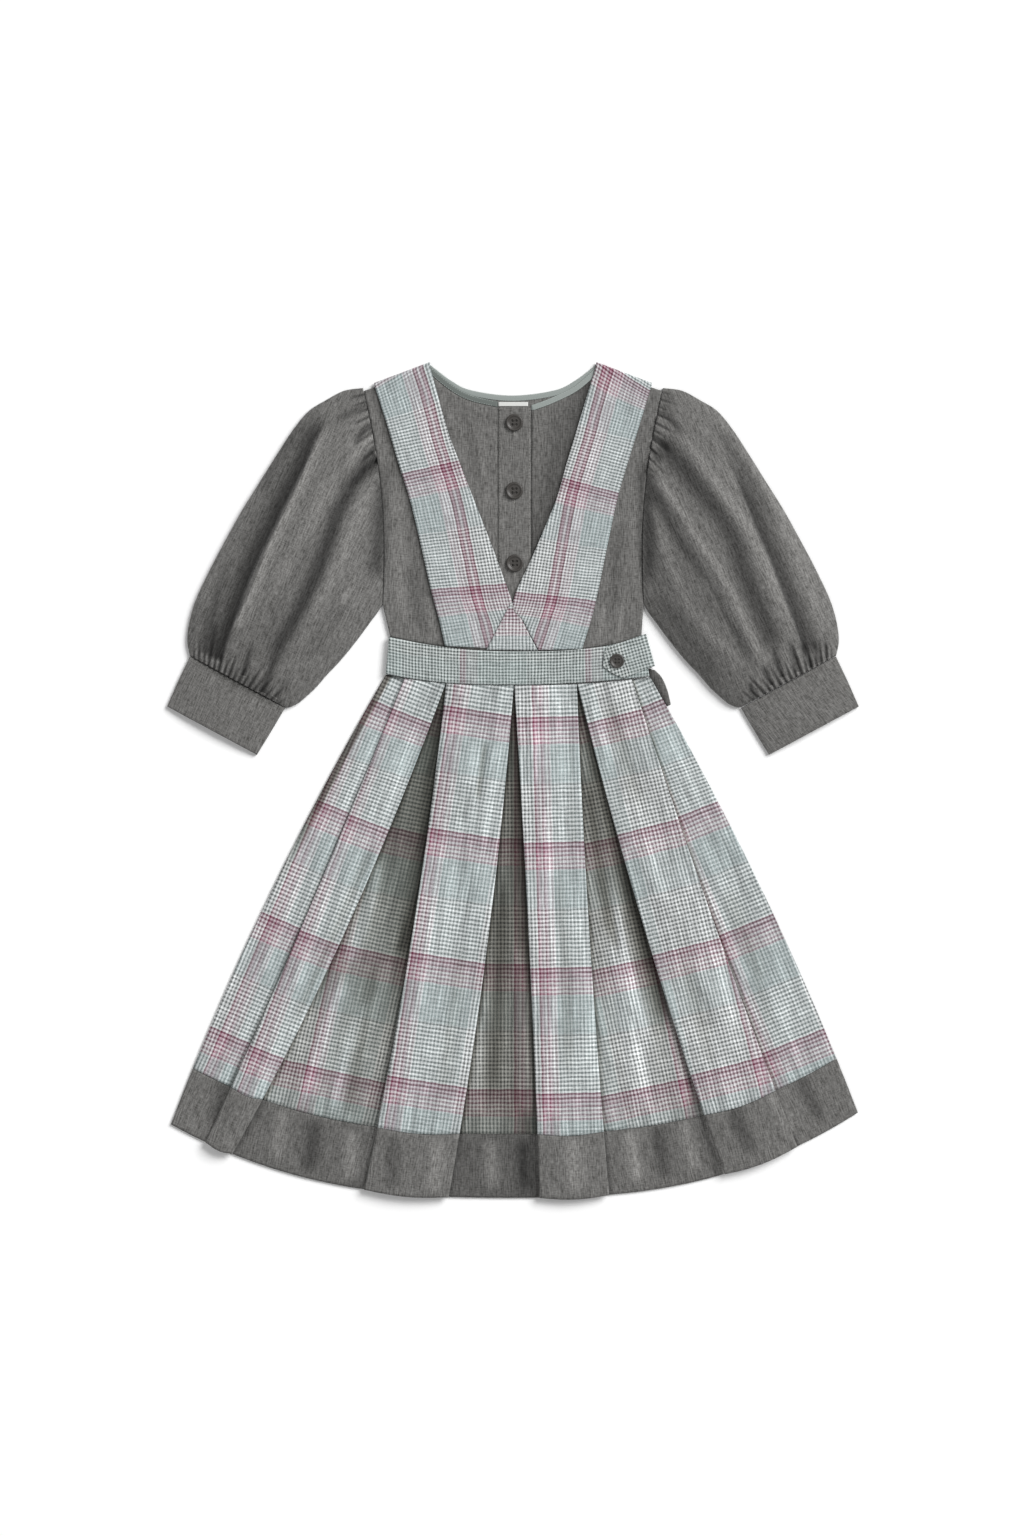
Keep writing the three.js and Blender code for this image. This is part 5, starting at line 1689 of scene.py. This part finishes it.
def button_points(x, y, z, scale):
    """Rings from the middle of the face out, over the rim and back under, with four deep thread holes."""
    radius = BUTTON["radius"] * scale
    height = BUTTON["height"] * scale
    sides = 96
    rings = []
    for k in range(23):
        rings.append((0.6 * k / 22, 0.64 + 0.03 * (k / 22) ** 3, True))
    rings += [(share, level, False) for share, level in BUTTON_PROFILE[4:]]
    points = []
    for share, level, dished in rings:
        row = []
        for k in range(sides + 1):
            angle = 2 * math.pi * k / sides
            px = share * radius * math.cos(angle)
            py = share * radius * math.sin(angle)
            drop = 0.0
            if dished:
                gap = math.hypot(abs(px) - BUTTON["spread"] * scale, abs(py) - BUTTON["spread"] * scale)
                drop = ease((BUTTON["hole"] * scale * 1.12 - gap) / 0.35) * height * 0.55
            row.append((x + px, y + py, z + level * height - drop))
        row[-1] = row[0]
        points.append(row)
    return points


def make_buttons(settings):
    top = FRONT_LAYER - WALL / 2 + PLACKET["wall"] + SEAM
    places = [(f"button_{k + 1}", x, y, top, 1.0) for k, (x, y) in enumerate(BUTTON_PLACES)]
    tab_z = TAB_LAYER + TAB_WALL / 2 + SEAM
    places.append(("tab_button", TAB_BUTTON["x"], TAB_BUTTON["y"], tab_z, TAB_BUTTON["scale"]))
    for name, x, y, z, scale in places:
        points = button_points(x, y, z, scale)
        mesh = grid_mesh(f"{name}_disc", points, simple_cloth(points), ring=True)
        place_piece(mesh, f"{name}_disc", "button", [name])
        sew_button(name, x, y, z, scale)


def add_stitch(shape, start, end, width, height):
    """One stitch: a small rounded grain of thread from one place to another."""
    middle = [(a + b) / 2 * MM for a, b in zip(start, end)]
    length = math.dist(start, end) * MM
    turn = math.atan2(end[1] - start[1], end[0] - start[0])
    tilt = math.asin((end[2] - start[2]) / max(math.dist(start, end), 1e-6))
    matrix = Matrix.Translation(middle) @ Matrix.Rotation(turn, 4, "Z") @ Matrix.Rotation(-tilt, 4, "Y")
    matrix = matrix @ Matrix.Diagonal((length, width * MM, height * MM, 1))
    bmesh.ops.create_uvsphere(shape, u_segments=8, v_segments=5, radius=0.5, matrix=matrix)


def finish_stitches(shape, name, material):
    for face in shape.faces:
        face.smooth = True
    mesh = bpy.data.meshes.new(name)
    shape.to_mesh(mesh)
    shape.free()
    return place_piece(mesh, name, material)


def sew_button(name, x, y, z, scale):
    """Two bars of thread between the holes."""
    shape = bmesh.new()
    reach = BUTTON["spread"] * scale
    level = z + BUTTON["height"] * scale * 0.66
    for offset in (-reach, reach):
        for lift in (-0.28, 0.28):
            start = (x - reach - 0.5, y + offset + lift, level)
            end = (x + reach + 0.5, y + offset + lift, level)
            add_stitch(shape, start, end, 0.55, 0.7)
    finish_stitches(shape, f"{name}_thread", "dark_thread")


# Rows of stitches

def stitch_row(shape, path, step=3.0, share=0.72, width=0.5, height=0.3):
    """Stitches at even steps along a path of places."""
    lengths = [0.0]
    for a, b in zip(path, path[1:]):
        lengths.append(lengths[-1] + math.dist(a, b))
    count = max(int(lengths[-1] / step), 1)
    pace = lengths[-1] / count

    def at(distance):
        k = 0
        while k < len(lengths) - 2 and lengths[k + 1] < distance:
            k += 1
        f = (distance - lengths[k]) / max(lengths[k + 1] - lengths[k], 1e-6)
        return [mix(a, b, f) for a, b in zip(path[k], path[k + 1])]
    for k in range(count):
        add_stitch(shape, at(k * pace), at((k + share) * pace), width, height)


def ring_edge(rings, side, t, lift):
    """The top of a tube, across it at one place along it."""
    ring = ring_at(rings, t)
    path = []
    for k in range(61):
        share = mix(0.02, 0.98, k / 60)
        x, y = ring_plan(ring, side, share)
        path.append((x, y, SLEEVE_EDGE + (ring.height - SLEEVE_EDGE) * round_top(share) + lift))
    return path


def make_stitches(settings):
    top = FRONT_LAYER - WALL / 2 + PLACKET["wall"] + 0.05
    shape = bmesh.new()
    for x in (PLACKET["left"] + 1.6, PLACKET["right"] - 1.6):
        stitch_row(shape, [(x, PLACKET["top"] - 1, top), (x, 165, top)], width=0.4)
    for x, y in BUTTON_PLACES:
        for k in range(5):
            add_stitch(shape, (x - 0.9, y - 8.4 - k * 0.7, top), (x + 0.9, y - 8.4 - k * 0.7, top), 0.6, 0.4)
    finish_stitches(shape, "placket_stitches", "pale_thread")

    shape = bmesh.new()
    edges = [(NECK_LEFT, -1, FRONT_LAYER), (NECK_RIGHT, 1, FRONT_LAYER), (NECK_BACK, -1, BACK_LAYER)]
    for neck, side, level in edges:
        outer = spaced_path(neck, 40)
        for aside in (0.5, BINDING_WIDTH - 0.6):
            line = moved_aside(outer, side * aside)[1:-2]
            stitch_row(shape, [(x, y, level + WALL / 2 + 0.03) for x, y in line], step=2.2, width=0.45)
    finish_stitches(shape, "neck_stitches", "sage_thread")

    for name, side in (("left", -1), ("right", 1)):
        shape = bmesh.new()
        stitch_row(shape, ring_edge(CUFF_RINGS, side, 0.07, 0.06), step=2.6, width=0.4)
        stitch_row(shape, ring_edge(CUFF_RINGS, side, 0.965, 0.06), step=2.6, width=0.35)
        finish_stitches(shape, f"cuff_{name}_stitches", "grey_thread")

    shape = bmesh.new()
    level = CROSSED_LAYER + WALL / 2 + 0.05
    for inset in (1.2,):
        path = [
            (GUSSET["left"][0] + 1.6, GUSSET["left"][1] + 1, level),
            (GUSSET["peak"][0], GUSSET["peak"][1] - 3.2, level),
            (GUSSET["right"][0] - 1.6, GUSSET["right"][1] + 1, level),
        ]
        stitch_row(shape, path[1:], step=2.4, width=0.5)
    finish_stitches(shape, "gusset_stitches", "white_thread")

    shape = bmesh.new()
    level = TAB_LAYER + TAB_WALL / 2 + 0.05
    inset = 1.7
    path = [
        (115.0, 130.6 - inset, level), (98.4, 124.4 - inset, level), (85.2, 119.2 - inset, level),
        (83.6, 115.6, level), (82.4, 103.2, level), (89.8, 98.4, level), (99.6, 91.4 + inset + 0.3, level),
        (111.6, 97.0 + inset, level), (121.4, 101.6 + inset, level),
    ]
    stitch_row(shape, path, step=2.4, width=0.45)
    for k in range(7):
        x = 101.2 + k * 0.8
        add_stitch(shape, (x, 108.6 - k * 0.1, level), (x, 110.6 - k * 0.1, level), 0.6, 0.4)
    finish_stitches(shape, "tab_stitches", "sage_thread")


# The stage

def make_stage(settings):
    shape = bmesh.new()
    bmesh.ops.create_grid(shape, x_segments=1, y_segments=1, size=4.0)
    bmesh.ops.translate(shape, verts=shape.verts[:], vec=(0, 0, -0.0003))
    mesh = bpy.data.meshes.new("white_floor")
    shape.to_mesh(mesh)
    shape.free()
    floor = bpy.data.objects.new("white_floor", mesh)
    bpy.context.scene.collection.objects.link(floor)
    mesh.materials.append(plain_material("White floor", (254, 254, 254), 1.0, specular=0.0))

    camera = bpy.data.objects.new("Camera", bpy.data.cameras.new("Camera"))
    bpy.context.scene.collection.objects.link(camera)
    camera.location = (CAMERA["x"] * MM, CAMERA["y"] * MM, CAMERA["height"] * MM)
    camera.data.sensor_fit = "VERTICAL"
    camera.data.sensor_height = 36
    camera.data.lens = CAMERA["lens"]
    bpy.context.scene.camera = camera

    lights = [
        ("Window", (8.6, 6.8, 10.0), 8.4, settings.window_power),
        ("Overhead", (-2.6, -2.2, 6.5), 5.0, settings.overhead_power),
    ]
    for name, place, size, power in lights:
        data = bpy.data.lights.new(name, "AREA")
        data.size = size
        data.energy = power
        light = bpy.data.objects.new(name, data)
        light.location = place
        aim = Vector((0, 0, 0)) - Vector(place)
        light.rotation_euler = aim.to_track_quat("-Z", "Y").to_euler()
        bpy.context.scene.collection.objects.link(light)

    world = bpy.data.worlds.new("White room")
    world.use_nodes = True
    background = world.node_tree.nodes["Background"]
    background.inputs[0].default_value = (1, 1, 1, 1)
    background.inputs[1].default_value = settings.room_light
    bpy.context.scene.world = world
    bpy.context.scene.view_settings.view_transform = "Standard"


class DressSettings(bpy.types.PropertyGroup):
    """Sizes, colours and lights that a user may change."""
    wall: bpy.props.FloatProperty(
        name="Cloth", description="Thickness of the cloth as drawn", default=0.0009, unit="LENGTH")
    check: bpy.props.FloatProperty(
        name="Check", description="Width of one dark and one pale thread group", default=0.00325, unit="LENGTH")
    pane: bpy.props.FloatProperty(
        name="Window-pane", description="Distance between two wine bands", default=0.1128, unit="LENGTH")
    # Depth of the painted shade between the pleats
    pleat_shade: bpy.props.FloatProperty(
        name="Pleat shade", description="Depth of tone between the pleats", default=1.0, subtype="FACTOR")
    # Depth of the painted shade and highlight for each millimetre of a gather
    gather_shade: bpy.props.FloatProperty(
        name="Gather shade", description="Depth of tone for each millimetre of a gather", default=0.2)
    grey_dark: bpy.props.FloatVectorProperty(
        name="Grey, dark", description="Dark yarn of the grey cloth, 0 to 255", default=(72, 71, 69), size=3)
    grey_light: bpy.props.FloatVectorProperty(
        name="Grey, light", description="Pale yarn of the grey cloth, 0 to 255", default=(134, 133, 131), size=3)
    window_power: bpy.props.FloatProperty(
        name="Window light", description="Power of the light from the upper right", default=2380, unit="POWER")
    overhead_power: bpy.props.FloatProperty(
        name="Overhead light", description="Power of the broad light above", default=100, unit="POWER")
    room_light: bpy.props.FloatProperty(
        name="Room light", description="Strength of the even light from all round", default=0.26)


class DressOperator:
    """What the operators share: they run their maker with the scene's settings."""
    bl_options = {"REGISTER"}

    def execute(self, context):
        self.make(context.scene.dress)
        return {"FINISHED"}


class DRESS_OT_materials(DressOperator, bpy.types.Operator):
    """Make the cloths, thread and button finishes"""
    bl_idname = "dress.materials"
    bl_label = "Materials"
    make = staticmethod(make_materials)


class DRESS_OT_skirt(DressOperator, bpy.types.Operator):
    """Make the pleated front skirt and the back skirt"""
    bl_idname = "dress.skirt"
    bl_label = "Skirt"
    make = staticmethod(make_skirt)


class DRESS_OT_hem_bands(DressOperator, bpy.types.Operator):
    """Make the grey bands at the hem"""
    bl_idname = "dress.hem_bands"
    bl_label = "Hem bands"
    make = staticmethod(make_hem_bands)


class DRESS_OT_waistbands(DressOperator, bpy.types.Operator):
    """Make the front and back waistbands"""
    bl_idname = "dress.waistbands"
    bl_label = "Waistbands"
    make = staticmethod(make_waistbands)


class DRESS_OT_tab(DressOperator, bpy.types.Operator):
    """Make the side tab and the facing in the side opening"""
    bl_idname = "dress.tab"
    bl_label = "Side tab"
    make = staticmethod(make_tab)


class DRESS_OT_bodice(DressOperator, bpy.types.Operator):
    """Make the bodice's fronts, placket and back"""
    bl_idname = "dress.bodice"
    bl_label = "Bodice"
    make = staticmethod(make_bodice)


class DRESS_OT_neck(DressOperator, bpy.types.Operator):
    """Make the neck bindings and the bare label"""
    bl_idname = "dress.neck"
    bl_label = "Neck"
    make = staticmethod(make_neck)


class DRESS_OT_sleeves(DressOperator, bpy.types.Operator):
    """Make the puff sleeves"""
    bl_idname = "dress.sleeves"
    bl_label = "Sleeves"
    make = staticmethod(make_sleeves)


class DRESS_OT_cuffs(DressOperator, bpy.types.Operator):
    """Make the cuffs"""
    bl_idname = "dress.cuffs"
    bl_label = "Cuffs"
    make = staticmethod(make_cuffs)


class DRESS_OT_straps(DressOperator, bpy.types.Operator):
    """Make the straps and the three-cornered piece between them"""
    bl_idname = "dress.straps"
    bl_label = "Straps"
    make = staticmethod(make_straps)


class DRESS_OT_buttons(DressOperator, bpy.types.Operator):
    """Make the buttons and the thread that holds them"""
    bl_idname = "dress.buttons"
    bl_label = "Buttons"
    make = staticmethod(make_buttons)


class DRESS_OT_stitches(DressOperator, bpy.types.Operator):
    """Make the rows of stitches"""
    bl_idname = "dress.stitches"
    bl_label = "Stitches"
    make = staticmethod(make_stitches)


class DRESS_OT_stage(DressOperator, bpy.types.Operator):
    """Make the white floor, the camera and the lights"""
    bl_idname = "dress.stage"
    bl_label = "Stage"
    make = staticmethod(make_stage)


OPERATORS = [
    DRESS_OT_materials,
    DRESS_OT_skirt,
    DRESS_OT_hem_bands,
    DRESS_OT_waistbands,
    DRESS_OT_tab,
    DRESS_OT_bodice,
    DRESS_OT_neck,
    DRESS_OT_sleeves,
    DRESS_OT_cuffs,
    DRESS_OT_straps,
    DRESS_OT_buttons,
    DRESS_OT_stitches,
    DRESS_OT_stage,
]


class DRESS_PT_panel(bpy.types.Panel):
    """Lists the dress's settings and makers"""
    bl_label = "Pinafore dress"
    bl_idname = "DRESS_PT_panel"
    bl_space_type = "VIEW_3D"
    bl_region_type = "UI"
    bl_category = "Dress"

    def draw(self, context):
        settings = context.scene.dress
        for name in settings.__annotations__:
            self.layout.prop(settings, name)
        for operator in OPERATORS:
            self.layout.operator(operator.bl_idname)


def register():
    bpy.utils.register_class(DressSettings)
    bpy.types.Scene.dress = bpy.props.PointerProperty(type=DressSettings)
    for operator in OPERATORS:
        bpy.utils.register_class(operator)
    bpy.utils.register_class(DRESS_PT_panel)


def unregister():
    bpy.utils.unregister_class(DRESS_PT_panel)
    for operator in reversed(OPERATORS):
        bpy.utils.unregister_class(operator)
    del bpy.types.Scene.dress
    bpy.utils.unregister_class(DressSettings)


def main():
    register()
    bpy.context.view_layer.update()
    bpy.ops.dress.materials()
    bpy.ops.dress.skirt()
    bpy.ops.dress.hem_bands()
    bpy.ops.dress.waistbands()
    bpy.ops.dress.tab()
    bpy.ops.dress.bodice()
    bpy.ops.dress.neck()
    bpy.ops.dress.sleeves()
    bpy.ops.dress.cuffs()
    bpy.ops.dress.straps()
    bpy.ops.dress.buttons()
    bpy.ops.dress.stitches()
    bpy.ops.dress.stage()


if __name__ == "__main__":
    main()
